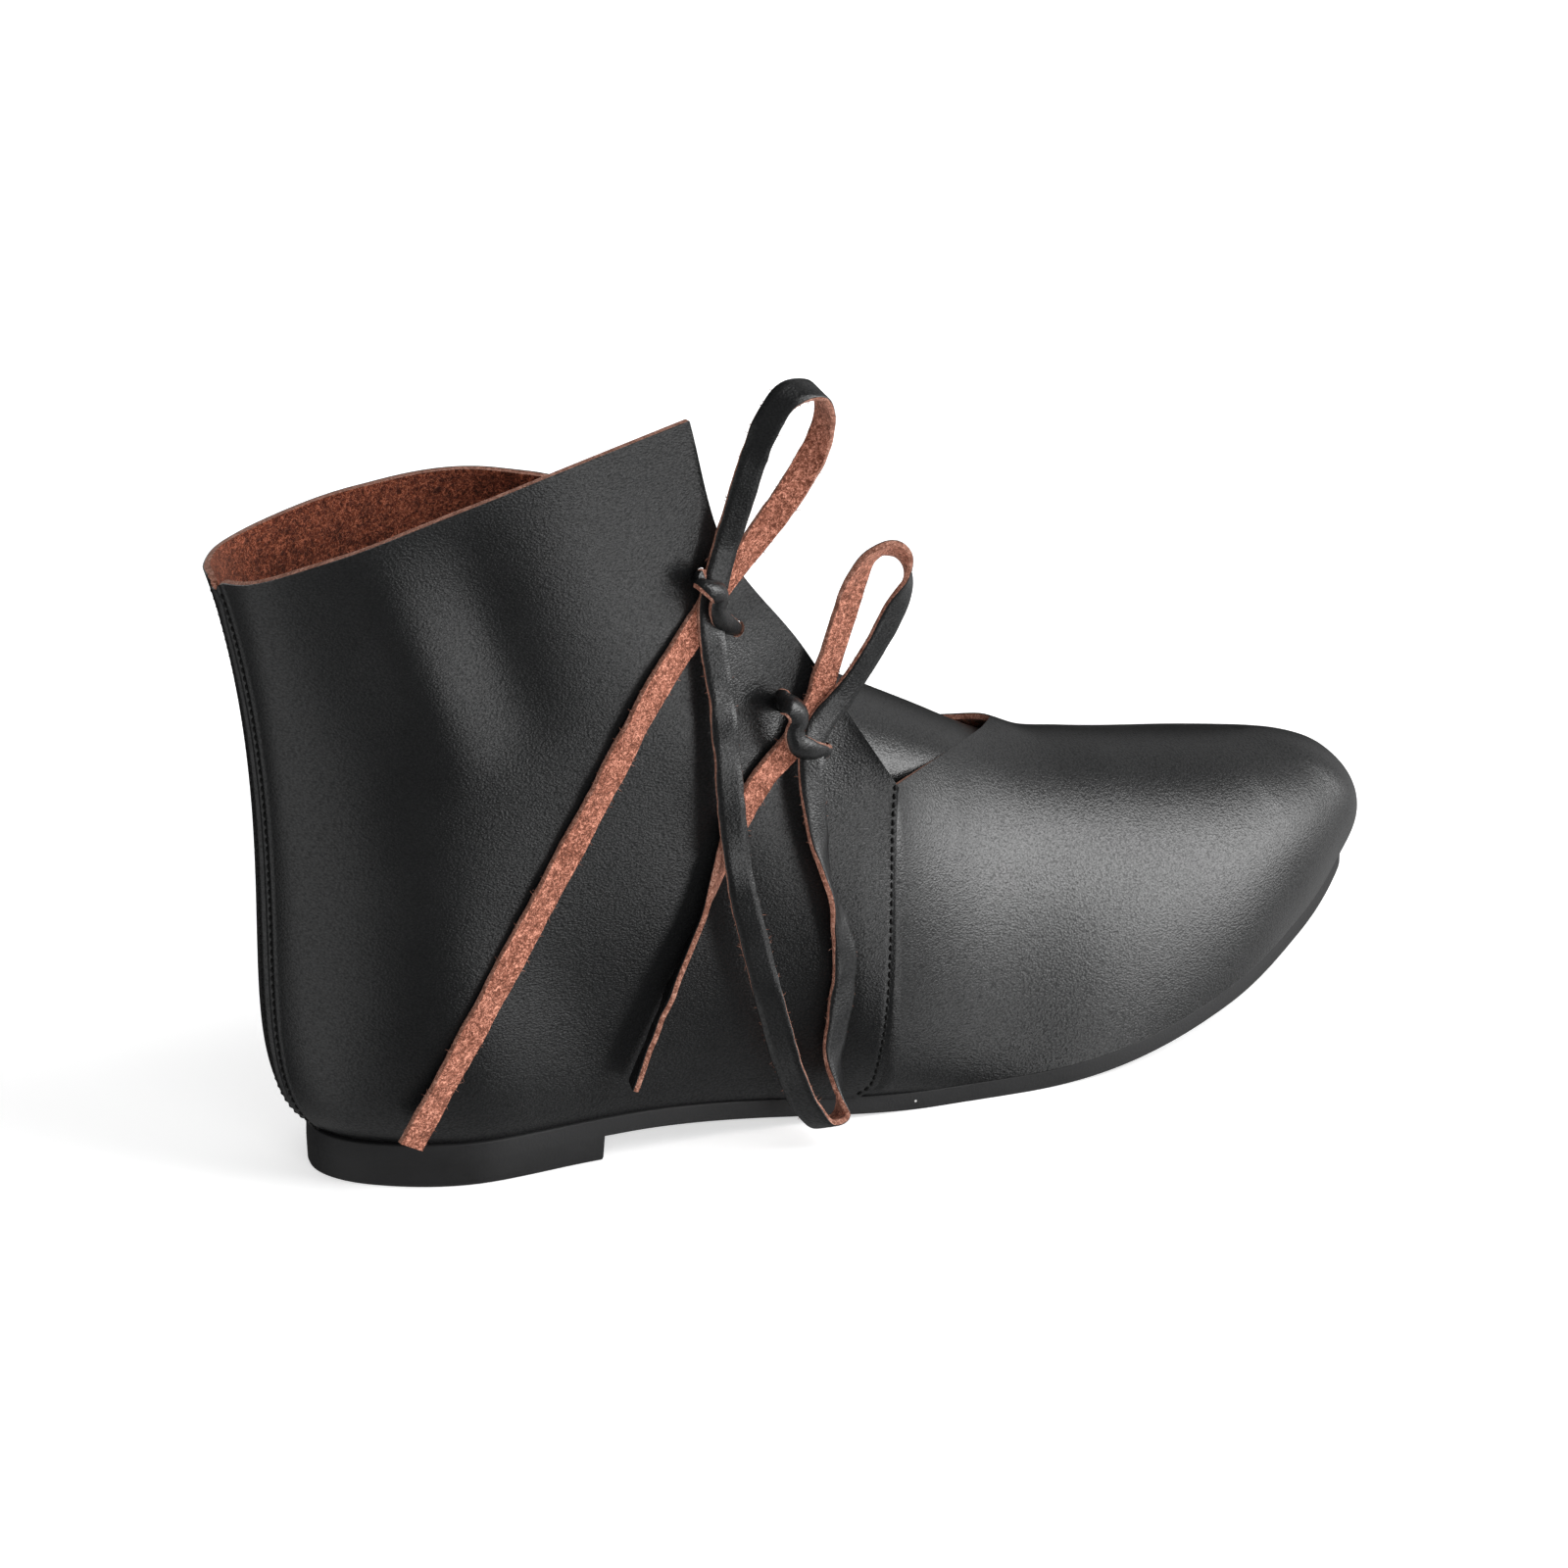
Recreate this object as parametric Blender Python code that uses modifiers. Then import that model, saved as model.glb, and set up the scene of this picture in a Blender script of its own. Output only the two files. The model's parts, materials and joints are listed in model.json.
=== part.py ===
"""Medieval ankle boot, right foot, laced on the outer side with a leather thong.

Sizes are in millimetres from the heel's rear edge. Each mesh is made in metres from an
origin on the floor under the middle of the heel.
Axes: +x from heel to toe, +y to the inner (medial) side, +z up from the floor.
A column runs up the upper from the sole edge to its top edge, t = 0 at the back
seam and t = 1 at the toe tip; v = 0 at the sole and v = 1 at the top edge.
"""
import math

import bmesh
import bpy
import numpy as np

NAME = "medieval_ankle_boot"
MM = 0.001
OUTER = -1
INNER = 1

LENGTH = 290.0
HEEL_MIDDLE = 33.0
SOLE_THICK = 4.4
HEEL_HIGH = 6.2
HEEL_LONG = 61.0
WAIST_START = 66.0
TREAD_START = 146.0
TREAD_END = 168.0
TOE_SPRING = 20.5
SPRING_POWER = 1.7
SEAT_GAP = 0.35
WALL = 1.8
FEATHER_INSET = 1.5
INSOLE_INSET = 4.6
INSOLE_THICK = 2.0
LAP_STEP = 1.2
LAP_FADE = 0.05
STEP_WIDTH = 0.0014
TONGUE_THICK = 1.6
THONG_WIDE = 6.6
THONG_THICK = 1.5
HOLE_DIAMETER = 4.6

FLAP = 0.364
THROAT = 0.463
PEAK = 0.566

PLAN_COLUMNS = ("t", "outer", "inner")
PLAN_ROWS = (
    (0.0, 0.0, 0.0),
    (0.1, 14.0, 14.0),
    (0.2, 25.5, 25.0),
    (0.3, 27.5, 26.0),
    (0.4, 31.0, 23.0),
    (0.5, 38.0, 27.0),
    (0.6, 42.0, 36.0),
    (0.7, 33.0, 39.0),
    (0.8, 16.5, 35.0),
    (0.9, 1.5, 23.0),
    (1.0, -8.0, 8.0),
)

EDGE_COLUMNS = ("t", "x", "y", "z")
RIDGE_ROWS = (
    (PEAK, 184.0, 3.0, 76.0),
    (0.66, 208.0, 4.0, 69.5),
    (0.77, 232.0, 5.0, 64.4),
    (0.88, 250.0, 6.0, 61.0),
    (0.95, 258.0, 6.4, 59.7),
    (1.0, 260.5, 6.5, 59.4),
)
OUTER_EDGES = (
    (
        (0.0, -24.7, 0.0, 147.2),
        (0.07, -21.2, -12.0, 149.5),
        (0.15, -9.0, -22.0, 155.0),
        (0.25, 22.0, -30.0, 164.5),
        (FLAP, 76.0, -37.0, 180.0),
    ),
    (
        (FLAP, 76.0, -37.0, 180.0),
        (0.39, 84.5, -37.0, 151.0),
        (0.425, 107.0, -36.5, 121.0),
        (THROAT, 133.0, -36.0, 82.0),
    ),
    (
        (THROAT, 133.0, -36.0, 82.0),
        (0.51, 159.0, -19.0, 80.5),
        (PEAK, 184.0, 3.0, 76.0),
    ),
    RIDGE_ROWS,
)
INNER_EDGES = (
    (
        (0.0, -24.7, 0.0, 147.2),
        (0.07, -21.4, 11.0, 147.6),
        (0.15, -9.4, 22.0, 148.0),
        (0.25, 26.0, 27.0, 152.8),
        (0.32, 57.0, 22.0, 157.2),
        (FLAP, 78.5, 7.0, 148.0),
    ),
    (
        (FLAP, 78.5, 7.0, 148.0),
        (0.39, 93.0, 15.0, 129.0),
        (0.425, 113.0, 26.0, 103.0),
        (THROAT, 133.0, 33.0, 73.0),
    ),
    (
        (THROAT, 133.0, 33.0, 73.0),
        (0.51, 158.0, 21.5, 75.0),
        (PEAK, 184.0, 3.0, 76.0),
    ),
    RIDGE_ROWS,
)
EDGE_ENDS = (FLAP, THROAT, PEAK, 1.0)

BELLY_COLUMNS = ("t", "low_out", "low_up", "high_out", "high_up")
TOE_BELLY = (
    (0.515, 12.5, 3.0, 12.0, 15.0),
    (PEAK, 13.0, 4.0, 12.0, 23.0),
    (0.7, 13.0, 6.0, 12.0, 19.4),
    (0.8, 16.0, 5.5, 14.5, 15.4),
    (0.9, 17.5, 3.5, 16.5, 12.0),
    (1.0, 18.0, 1.5, 17.5, 11.0),
)
OUTER_BELLY = (
    (0.0, 15.0, -31.5, -14.0, -22.0),
    (0.1, 15.0, -30.0, -13.0, -20.0),
    (0.2, 14.0, -13.0, -5.0, 0.0),
    (0.3, 10.0, -8.0, 0.0, 0.0),
    (0.4, 10.0, -4.0, 3.0, 0.0),
    (THROAT, 11.5, 0.0, 8.0, 4.0),
) + TOE_BELLY
INNER_BELLY = (
    (0.0, 15.0, -31.5, -14.0, -22.0),
    (0.1, 15.0, -30.0, -13.0, -20.0),
    (0.2, 14.0, -13.0, -3.0, 0.0),
    (0.3, 11.0, -8.0, 5.0, 0.0),
    (FLAP, 12.0, -4.0, 13.0, 0.0),
    (0.4, 12.0, -2.0, 13.0, 0.0),
    (THROAT, 12.0, 0.0, 10.0, 4.0),
) + TOE_BELLY

HOLE_COLUMNS = ("t", "v")
UPPER_HOLES = ((0.362, 0.80), (0.398, 0.886))
LOWER_HOLES = ((0.413, 0.82), (0.434, 0.831))

TONGUE_COLUMNS = ("s", "x", "y", "z", "outer_half", "inner_half", "deep", "tilt")
TONGUE_ROWS = (
    (0.0, 194.0, 3.0, 67.5, 13.0, 12.0, 6.0, 90.0),
    (0.15, 180.0, 2.0, 71.5, 16.0, 14.0, 11.0, 85.0),
    (0.3, 162.0, 2.0, 82.0, 23.0, 19.0, 22.0, 72.0),
    (0.5, 130.0, 0.0, 102.0, 27.5, 22.5, 36.0, 55.0),
    (0.75, 96.0, -3.0, 125.0, 26.0, 16.0, 42.0, 38.0),
    (1.0, 69.0, -5.0, 149.0, 22.0, 18.0, 44.0, 24.0),
)

THONG_COLUMNS = ("x", "y", "z", "turn")
UPPER_LOOP = (
    (84.6, -40.9, 138.4, 0.0),
    (86.4, -41.4, 149.0, 0.0),
    (88.0, -44.5, 167.0, 10.0),
    (91.0, -46.0, 178.0, 40.0),
    (96.0, -46.0, 184.0, 70.0),
    (101.0, -45.0, 186.0, 95.0),
    (106.0, -43.5, 182.0, 125.0),
    (107.0, -42.0, 173.0, 150.0),
    (103.0, -41.0, 164.0, 180.0),
    (95.0, -40.0, 152.0, 180.0),
    (85.4, -39.1, 139.2, 180.0),
)
UPPER_TAIL = (
    (82.6, -38.95, 134.8, 180.0),
    (66.0, -38.4, 110.0, 180.0),
    (51.0, -37.5, 85.0, 180.0),
    (36.0, -36.5, 59.0, 180.0),
    (22.0, -34.0, 34.0, 180.0),
    (14.0, -31.5, 17.0, 180.0),
)
SLACK_LOOP = (
    (82.0, -40.8, 134.4, 0.0),
    (79.2, -41.2, 126.0, 0.0),
    (79.8, -42.6, 116.0, 0.0),
    (82.0, -44.6, 96.0, 10.0),
    (85.0, -46.5, 76.0, 20.0),
    (90.0, -48.0, 54.0, 30.0),
    (98.0, -48.0, 24.0, 60.0),
    (102.0, -47.5, 13.0, 80.0),
    (106.5, -47.0, 9.0, 90.0),
    (110.5, -47.0, 14.0, 110.0),
    (112.0, -46.5, 28.0, 150.0),
    (114.0, -46.5, 47.0, 180.0),
    (112.0, -45.5, 59.0, 180.0),
    (106.5, -44.0, 75.0, 180.0),
    (104.4, -42.4, 91.0, 180.0),
    (105.4, -41.95, 99.0, 180.0),
)
LOWER_LOOP = (
    (108.0, -41.9, 103.2, 180.0),
    (114.6, -42.8, 113.0, 180.0),
    (122.0, -44.0, 124.0, 190.0),
    (128.0, -45.0, 132.0, 220.0),
    (129.0, -45.5, 140.0, 250.0),
    (125.0, -45.5, 144.5, 275.0),
    (120.0, -45.0, 144.0, 295.0),
    (116.0, -44.0, 139.0, 320.0),
    (114.5, -43.0, 131.0, 345.0),
    (111.5, -41.8, 119.0, 360.0),
    (107.9, -40.1, 103.2, 360.0),
)
LOWER_TAIL = (
    (105.6, -39.9, 99.4, 180.0),
    (98.0, -40.4, 88.0, 180.0),
    (88.5, -40.3, 71.0, 180.0),
    (80.0, -39.0, 50.0, 200.0),
    (74.0, -37.0, 34.0, 230.0),
    (69.0, -35.5, 18.0, 240.0),
)
BAND_COLUMNS = ("name", "side", "holes", "foot", "rise")
BAND_ROWS = (
    ("upper_band", OUTER, UPPER_HOLES, 1.4, 7.4),
    ("lower_band", OUTER, LOWER_HOLES, 1.3, 7.4),
    ("inner_upper_band", INNER, UPPER_HOLES, 1.4, 4.6),
    ("inner_lower_band", INNER, LOWER_HOLES, 0.9, 4.6),
)


def table(rows, names, wanted):
    """Columns of a table by name, as an array with a row per section."""
    picks = [names.index(name) for name in wanted]
    return np.array([[row[pick] for pick in picks] for row in rows], float)


def spline(places, knots, values):
    """Smooth curve through values given at knots."""
    places = np.asarray(places, float)
    slopes = np.gradient(values, knots, axis=0)
    left = np.clip(np.searchsorted(knots, places, side="right") - 1, 0, len(knots) - 2)
    span = (knots[left + 1] - knots[left])[..., None]
    s = (places[..., None] - knots[left][..., None]) / span
    rise = 3 * s**2 - 2 * s**3
    return (
        values[left] * (1 - rise)
        + values[left + 1] * rise
        + slopes[left] * span * (s**3 - 2 * s**2 + s)
        + slopes[left + 1] * span * (s**3 - s**2)
    )


def ease(value, start, end):
    """0 before start, 1 after end, smooth between."""
    s = np.clip((value - start) / (end - start), 0.0, 1.0)
    return s * s * (3 - 2 * s)


def unit(vectors):
    """Vectors scaled to length 1."""
    return vectors / np.linalg.norm(vectors, axis=-1, keepdims=True)


def column_at(x):
    """Column t whose sole edge is at x."""
    return math.acos(1 - 2 * x / LENGTH) / math.pi


def plan(t, side):
    """Sole edge from above at columns t."""
    t = np.asarray(t, float)
    name = "outer" if side == OUTER else "inner"
    rows = table(PLAN_ROWS, PLAN_COLUMNS, ("t", name))
    x = LENGTH * (1 - np.cos(np.pi * t)) / 2
    y = side * spline(t, rows[:, 0], rows[:, 1:])[..., 0]
    return np.stack([x, y], -1)


def plan_outward(t, side):
    """Unit normal of the sole edge from above, pointing away from the foot."""
    step = 1e-4
    ahead = plan(np.clip(t + step, 0, 1), side)
    behind = plan(np.clip(t - step, 0, 1), side)
    run = ahead - behind
    return unit(np.stack([-side * run[..., 1], side * run[..., 0]], -1))


def underside(x):
    """Height of the outsole's underside: heel seat, waist, flat tread, toe spring."""
    waist = HEEL_HIGH * (1 - ease(x, WAIST_START, TREAD_START))
    beyond = np.clip((x - TREAD_END) / (LENGTH - TREAD_END), 0.0, None)
    return waist + TOE_SPRING * beyond**SPRING_POWER


def top_edge(t, side):
    """Top edge of the upper: collar, flap front, vamp edge, then the ridge to the toe."""
    t = np.asarray(t, float)
    edges = OUTER_EDGES if side == OUTER else INNER_EDGES
    points = np.zeros(t.shape + (3,))
    start = 0.0
    for rows, end in zip(edges, EDGE_ENDS):
        here = (t >= start) & (t <= end)
        knots = table(rows, EDGE_COLUMNS, ("t",))[:, 0]
        values = table(rows, EDGE_COLUMNS, ("x", "y", "z"))
        points[here] = spline(t[here], knots, values)
        start = end
    return points


def feather(t, side):
    """Lower edge of the upper, just above the outsole, and its outward normal."""
    outward = plan_outward(t, side)
    flat = plan(t, side)
    x, y = (flat - FEATHER_INSET * outward).T
    z = underside(flat[..., 0]) + SOLE_THICK + SEAT_GAP
    return np.stack([x, y, z], -1), np.stack([*outward.T, np.zeros(len(x))], -1)


def form(t, v, side):
    """Smooth outer face of the upper before the lap at the side seam."""
    t, v = np.broadcast_arrays(np.asarray(t, float), np.asarray(v, float))
    shape = t.shape
    t, v = t.ravel(), v.ravel()[:, None]
    low, outward = feather(t, side)
    high = top_edge(t, side)
    rows = table(OUTER_BELLY if side == OUTER else INNER_BELLY, BELLY_COLUMNS, BELLY_COLUMNS)
    belly = spline(t, rows[:, 0], rows[:, 1:])
    up = np.array([0.0, 0.0, 1.0])
    near_low = low + (high - low) / 3 + outward * belly[:, 0:1] + up * belly[:, 1:2]
    near_high = low + (high - low) * 2 / 3 + outward * belly[:, 2:3] + up * belly[:, 3:4]
    w = 1 - v
    points = w**3 * low + 3 * v * w**2 * near_low + 3 * v**2 * w * near_high + v**3 * high
    return points.reshape(shape + (3,))


def form_outward(t, v, side):
    """Unit normal of the form, pointing away from the foot."""
    t, v = np.broadcast_arrays(np.asarray(t, float), np.asarray(v, float))
    step = 1e-3
    ahead, behind = np.clip(t + step, 0, 1), np.clip(t - step, 0, 1)
    above, below = np.clip(v + step, 0, 1), np.clip(v - step, 0, 1)
    along = form(ahead, v, side) - form(behind, v, side)
    rise = form(t, above, side) - form(t, below, side)
    return unit(-side * np.cross(along, rise))


def lap(t):
    """How far the quarter stands out where it laps over the vamp."""
    return LAP_STEP * ease(t, THROAT - LAP_FADE, THROAT) * (t <= THROAT)


def upper_points(t, v, side):
    """Outer face of the upper with the lap at the side seam, level along the sole."""
    t, v = np.meshgrid(t, v, indexing="ij")
    stand_off = form_outward(t, v, side) * lap(t)[..., None]
    stand_off[..., 2] *= ease(v, 0.0, 0.15)
    return form(t, v, side) + stand_off


def placed(point):
    """Point in metres in the part's frame, whose origin is under the middle of the heel."""
    x, y, z = point
    return (MM * (x - HEEL_MIDDLE), MM * y, MM * z)


def make_object(name, vertices, faces, colour, rough, collection):
    """Mesh object in metres with its own material."""
    mesh = bpy.data.meshes.new(name)
    mesh.from_pydata([placed(p) for p in vertices], [], faces)
    solid = bmesh.new()
    solid.from_mesh(mesh)
    bmesh.ops.remove_doubles(solid, verts=solid.verts, dist=0.00004)
    bmesh.ops.dissolve_degenerate(solid, edges=solid.edges, dist=0.00001)
    solid.to_mesh(mesh)
    solid.free()
    thing = bpy.data.objects.new(name, mesh)
    collection.objects.link(thing)
    material = bpy.data.materials.new(name)
    material.use_nodes = True
    shader = material.node_tree.nodes["Principled BSDF"]
    shader.inputs["Base Color"].default_value = (*colour, 1.0)
    shader.inputs["Roughness"].default_value = rough
    mesh.materials.append(material)
    return thing


def grid_faces(rows, across, start, flip):
    """Quads of a grid of points stored row by row."""
    faces = []
    for i in range(rows - 1):
        for j in range(across - 1):
            a = start + i * across + j
            quad = (a, a + across, a + across + 1, a + 1)
            faces.append(quad[::-1] if flip else quad)
    return faces


def ring_solid(stations, end_cap):
    """Closed solid from section rings that run round from the outer to the inner side."""
    across = len(stations[0])
    vertices = [point for ring in stations for point in ring]
    faces = []
    for i in range(len(stations) - 1):
        for j in range(across):
            a, b = i * across + j, i * across + (j + 1) % across
            faces.append((a, b, b + across, a + across))
    if end_cap:
        last = (len(stations) - 1) * across
        faces.append(tuple(range(last, last + across)))
    return vertices, faces


def slab_ring(t, low, high, inset, bevel, end_x):
    """Section across the foot at column t: underside, sides and top with small bevels."""
    ring = []
    for side, order in ((OUTER, 1), (INNER, -1)):
        outward = plan_outward(np.array([t]), side)[0]
        edge = plan(np.array([t]), side)[0]
        corners = []
        for height, extra in ((low, bevel), (low + bevel, 0.0), (high - bevel, 0.0), (high, bevel)):
            x, y = edge - (inset + extra) * outward
            corners.append((min(x, end_x), y, height))
        ring.extend(corners[::order])
    return ring


def slab(columns, low, high, inset, bevel, end_x=LENGTH):
    """Sole-shaped slab between two heights that depend on x."""
    stations = []
    for t in columns:
        x = LENGTH * (1 - math.cos(math.pi * t)) / 2
        stations.append(slab_ring(t, low(x), high(x), inset, bevel, end_x))
    return ring_solid(stations, end_x < LENGTH)


def outsole(collection):
    """Rubber outsole with heel seat, waist, flat tread and toe spring."""
    marks = [column_at(x) for x in (WAIST_START, TREAD_START, TREAD_END)]
    columns = sorted(list(np.linspace(0.0, 1.0, 61)) + marks)
    vertices, faces = slab(columns, underside, lambda x: underside(x) + SOLE_THICK, 0.0, 0.5)
    return make_object("outsole", vertices, faces, (0.02, 0.02, 0.021), 0.55, collection)


def heel(collection):
    """Low heel block with a straight breast."""
    columns = np.linspace(0.0, column_at(HEEL_LONG), 17)
    vertices, faces = slab(columns, lambda x: 0.0, lambda x: HEEL_HIGH, 0.0, 0.5, HEEL_LONG)
    return make_object("heel", vertices, faces, (0.021, 0.021, 0.022), 0.5, collection)


def insole(collection):
    """Plain leather insole inside the upper."""
    columns = np.linspace(0.0, 1.0, 33)

    def rest(x):
        return underside(x) + SOLE_THICK + SEAT_GAP

    vertices, faces = slab(columns, rest, lambda x: rest(x) + INSOLE_THICK, INSOLE_INSET, 0.3)
    return make_object("insole", vertices, faces, (0.3, 0.13, 0.08), 0.9, collection)


def upper_columns():
    """Columns of the upper, close together at the lap of the side seam."""
    return np.concatenate([
        np.linspace(0.0, FLAP, 15)[:-1],
        np.linspace(FLAP, THROAT, 10),
        np.linspace(THROAT + STEP_WIDTH, PEAK, 8)[:-1],
        np.linspace(PEAK, 1.0, 14),
    ])


def lace_hole(index, side, place, collection):
    """Round cutter through the wall of the upper at a lace hole."""
    t, v = np.array([place[0]]), np.array([place[1]])
    centre = form(t, v, side)[0]
    outward = form_outward(t, v, side)[0]
    bpy.ops.mesh.primitive_cylinder_add(vertices=10, radius=MM * HOLE_DIAMETER / 2, depth=MM * 12)
    cutter = bpy.context.object
    cutter.name = f"lace_hole_{index}"
    cutter.location = placed(centre)
    across = np.array([1.0, 0.0, 0.0])
    first = unit(across - outward * (across @ outward))
    second = np.cross(outward, first)
    cutter.rotation_euler = rotation(first, second, outward)
    cutter.display_type = "WIRE"
    cutter.hide_render = True
    for other in list(cutter.users_collection):
        other.objects.unlink(cutter)
    collection.objects.link(cutter)
    return cutter


def rotation(first, second, third):
    """Euler angles of a frame given by its three axes."""
    pitch = -math.asin(max(-1.0, min(1.0, first[2])))
    return (math.atan2(second[2], third[2]), pitch, math.atan2(first[1], first[0]))


def upper(collection, cutters):
    """Vamp and two quarters as one shell: back seam, lapped side seams, open throat and base."""
    columns = upper_columns()
    heights = np.linspace(0.0, 1.0, 15)
    vertices, faces = [], []
    for side in (OUTER, INNER):
        points = upper_points(columns, heights, side).reshape(-1, 3)
        faces += grid_faces(len(columns), len(heights), len(vertices), side == INNER)
        vertices += [tuple(p) for p in points]
    thing = make_object("upper", vertices, faces, (0.016, 0.016, 0.017), 0.45, collection)
    shell = thing.modifiers.new("wall", "SOLIDIFY")
    shell.thickness = MM * WALL
    shell.offset = -1.0
    shell.use_even_offset = True
    index = 0
    for side in (OUTER, INNER):
        for place in UPPER_HOLES + LOWER_HOLES:
            cut = thing.modifiers.new(f"hole_{index}", "BOOLEAN")
            cut.operation = "DIFFERENCE"
            cut.solver = "EXACT"
            cut.object = lace_hole(index, side, place, cutters)
            index += 1
    return thing


def tongue(collection):
    """Wide arched tongue from under the vamp edge to the collar."""
    rows = table(TONGUE_ROWS, TONGUE_COLUMNS, TONGUE_COLUMNS)
    stations = spline(np.linspace(0.0, 1.0, 17), rows[:, 0], rows[:, 1:])
    arc = np.linspace(-1.0, 1.0, 19) * math.pi / 2
    vertices = []
    for x, y, z, outer_half, inner_half, deep, tilt in stations:
        inward = np.array([-math.cos(math.radians(tilt)), 0.0, -math.sin(math.radians(tilt))])
        for angle in arc:
            half = outer_half if angle < 0 else inner_half
            across = np.array([0.0, half * math.sin(angle), 0.0])
            vertices.append(np.array([x, y, z]) + across + inward * deep * (1 - math.cos(angle)))
    faces = grid_faces(len(stations), len(arc), 0, True)
    thing = make_object("tongue", vertices, faces, (0.018, 0.018, 0.019), 0.5, collection)
    sheet = thing.modifiers.new("sheet", "SOLIDIFY")
    sheet.thickness = MM * TONGUE_THICK
    sheet.offset = -1.0
    sheet.use_even_offset = True
    return thing


def strip(name, centres, grain, collection):
    """Flat thong along a path, with the direction its grain side faces at each point."""
    run = unit(np.gradient(centres, axis=0))
    across = unit(np.cross(run, grain))
    face = unit(np.cross(across, run))
    rings = []
    for centre, wide, thick in zip(centres, across * THONG_WIDE / 2, face * THONG_THICK / 2):
        rings.append([centre + wide + thick, centre - wide + thick, centre - wide - thick, centre + wide - thick])
    vertices, faces = ring_solid(rings, True)
    faces.append((3, 2, 1, 0))
    thing = make_object(name, vertices, faces, (0.02, 0.018, 0.017), 0.5, collection)
    outward_faces(thing.data)
    return thing


def outward_faces(mesh):
    """Turn the faces of a closed mesh outward."""
    solid = bmesh.new()
    solid.from_mesh(mesh)
    bmesh.ops.recalc_face_normals(solid, faces=solid.faces)
    solid.to_mesh(mesh)
    solid.free()


def thong(name, rows, samples, collection):
    """Free length of thong through the rows of a table; turn 0 faces its grain outward."""
    values = table(rows, THONG_COLUMNS, THONG_COLUMNS)
    places = np.linspace(0.0, len(rows) - 1.0, samples)
    path = spline(places, np.arange(len(rows), dtype=float), values)
    run = unit(np.gradient(path[:, :3], axis=0))
    outer = np.array([0.0, -1.0, 0.0])
    base = unit(outer - run * (run @ outer)[:, None])
    side_way = np.cross(run, base)
    turn = np.radians(path[:, 3:4])
    grain = base * np.cos(turn) + side_way * np.sin(turn)
    return strip(name, path[:, :3], grain, collection)


def band(row, collection):
    """Short band of thong that bridges from one lace hole to the next."""
    values = dict(zip(BAND_COLUMNS, row))
    side, (first, last) = values["side"], values["holes"]
    s = np.linspace(0.0, 1.0, 13)
    t = first[0] + (last[0] - first[0]) * s
    v = first[1] + (last[1] - first[1]) * s
    outward = form_outward(t, v, side)
    rise = values["foot"] + (values["rise"] - values["foot"]) * np.sin(np.pi * s) ** 0.8
    centres = form(t, v, side) + outward * (rise + lap(t))[:, None]
    return strip(values["name"], centres, outward, collection)


def clear_scene():
    """Remove what the file starts with."""
    for thing in list(bpy.data.objects):
        bpy.data.objects.remove(thing)


def new_collection(name):
    """Collection linked to the scene."""
    collection = bpy.data.collections.new(name)
    bpy.context.scene.collection.children.link(collection)
    return collection


def build():
    """Build every piece of the boot."""
    clear_scene()
    parts = new_collection(NAME)
    cutters = new_collection("cutters")
    cutters.hide_render = True
    things = [outsole(parts), heel(parts), insole(parts)]
    for thing in things:
        outward_faces(thing.data)
    upper(parts, cutters)
    tongue(parts)
    for row in BAND_ROWS:
        band(row, parts)
    thong("upper_loop", UPPER_LOOP, 34, parts)
    thong("upper_tail", UPPER_TAIL, 20, parts)
    thong("slack_loop", SLACK_LOOP, 44, parts)
    thong("lower_loop", LOWER_LOOP, 34, parts)
    thong("lower_tail", LOWER_TAIL, 20, parts)


build()
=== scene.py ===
"""Looks of the medieval ankle boot: leather panels, seams, ties, sole, floor, light and camera.

Sizes are in millimetres from the heel's rear edge, as in the solid model, and are placed in metres
from an origin on the floor under the middle of the heel. +x runs to the toe, +y to the inner side.
A column runs up the upper from the sole edge to its top edge, t = 0 at the back seam and t = 1 at
the toe tip; v = 0 at the sole and v = 1 at the top edge.
"""
import json
import math

import bmesh
import bpy
import numpy as np
from mathutils import Matrix

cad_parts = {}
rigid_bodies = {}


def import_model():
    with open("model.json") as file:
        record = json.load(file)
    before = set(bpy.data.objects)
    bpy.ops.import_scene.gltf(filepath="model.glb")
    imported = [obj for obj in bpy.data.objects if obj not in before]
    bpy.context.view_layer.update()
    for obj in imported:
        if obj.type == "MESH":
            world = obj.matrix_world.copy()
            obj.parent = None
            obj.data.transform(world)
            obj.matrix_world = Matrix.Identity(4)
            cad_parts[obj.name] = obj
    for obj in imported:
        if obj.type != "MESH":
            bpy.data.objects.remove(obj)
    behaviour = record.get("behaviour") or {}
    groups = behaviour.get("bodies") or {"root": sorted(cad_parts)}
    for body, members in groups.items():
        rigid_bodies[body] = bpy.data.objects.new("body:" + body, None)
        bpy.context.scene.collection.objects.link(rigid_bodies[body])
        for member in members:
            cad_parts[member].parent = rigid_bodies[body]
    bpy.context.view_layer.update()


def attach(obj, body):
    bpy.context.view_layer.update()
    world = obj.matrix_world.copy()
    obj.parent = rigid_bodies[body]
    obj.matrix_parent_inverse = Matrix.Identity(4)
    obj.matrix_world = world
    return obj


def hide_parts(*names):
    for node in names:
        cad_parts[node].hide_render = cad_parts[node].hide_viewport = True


BODY = "root"
MM = 0.001
OUTER = -1
INNER = 1

LENGTH = 290.0
HEEL_MIDDLE = 33.0
SOLE_THICK = 4.4
HEEL_HIGH = 6.2
HEEL_LONG = 61.0
WAIST_START = 66.0
TREAD_START = 146.0
TREAD_END = 168.0
TOE_SPRING = 20.5
SPRING_POWER = 1.7
SEAT_GAP = 0.12
WALL = 1.8
INSOLE_INSET = 4.6
INSOLE_THICK = 2.0
LAP_STEP = 1.2
LAP_FADE = 0.05
TONGUE_THICK = 1.6
THONG_WIDE = 6.6
THONG_THICK = 1.5
HOLE_DIAMETER = 3.8

FLAP = 0.364
THROAT = 0.463
PEAK = 0.566

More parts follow.
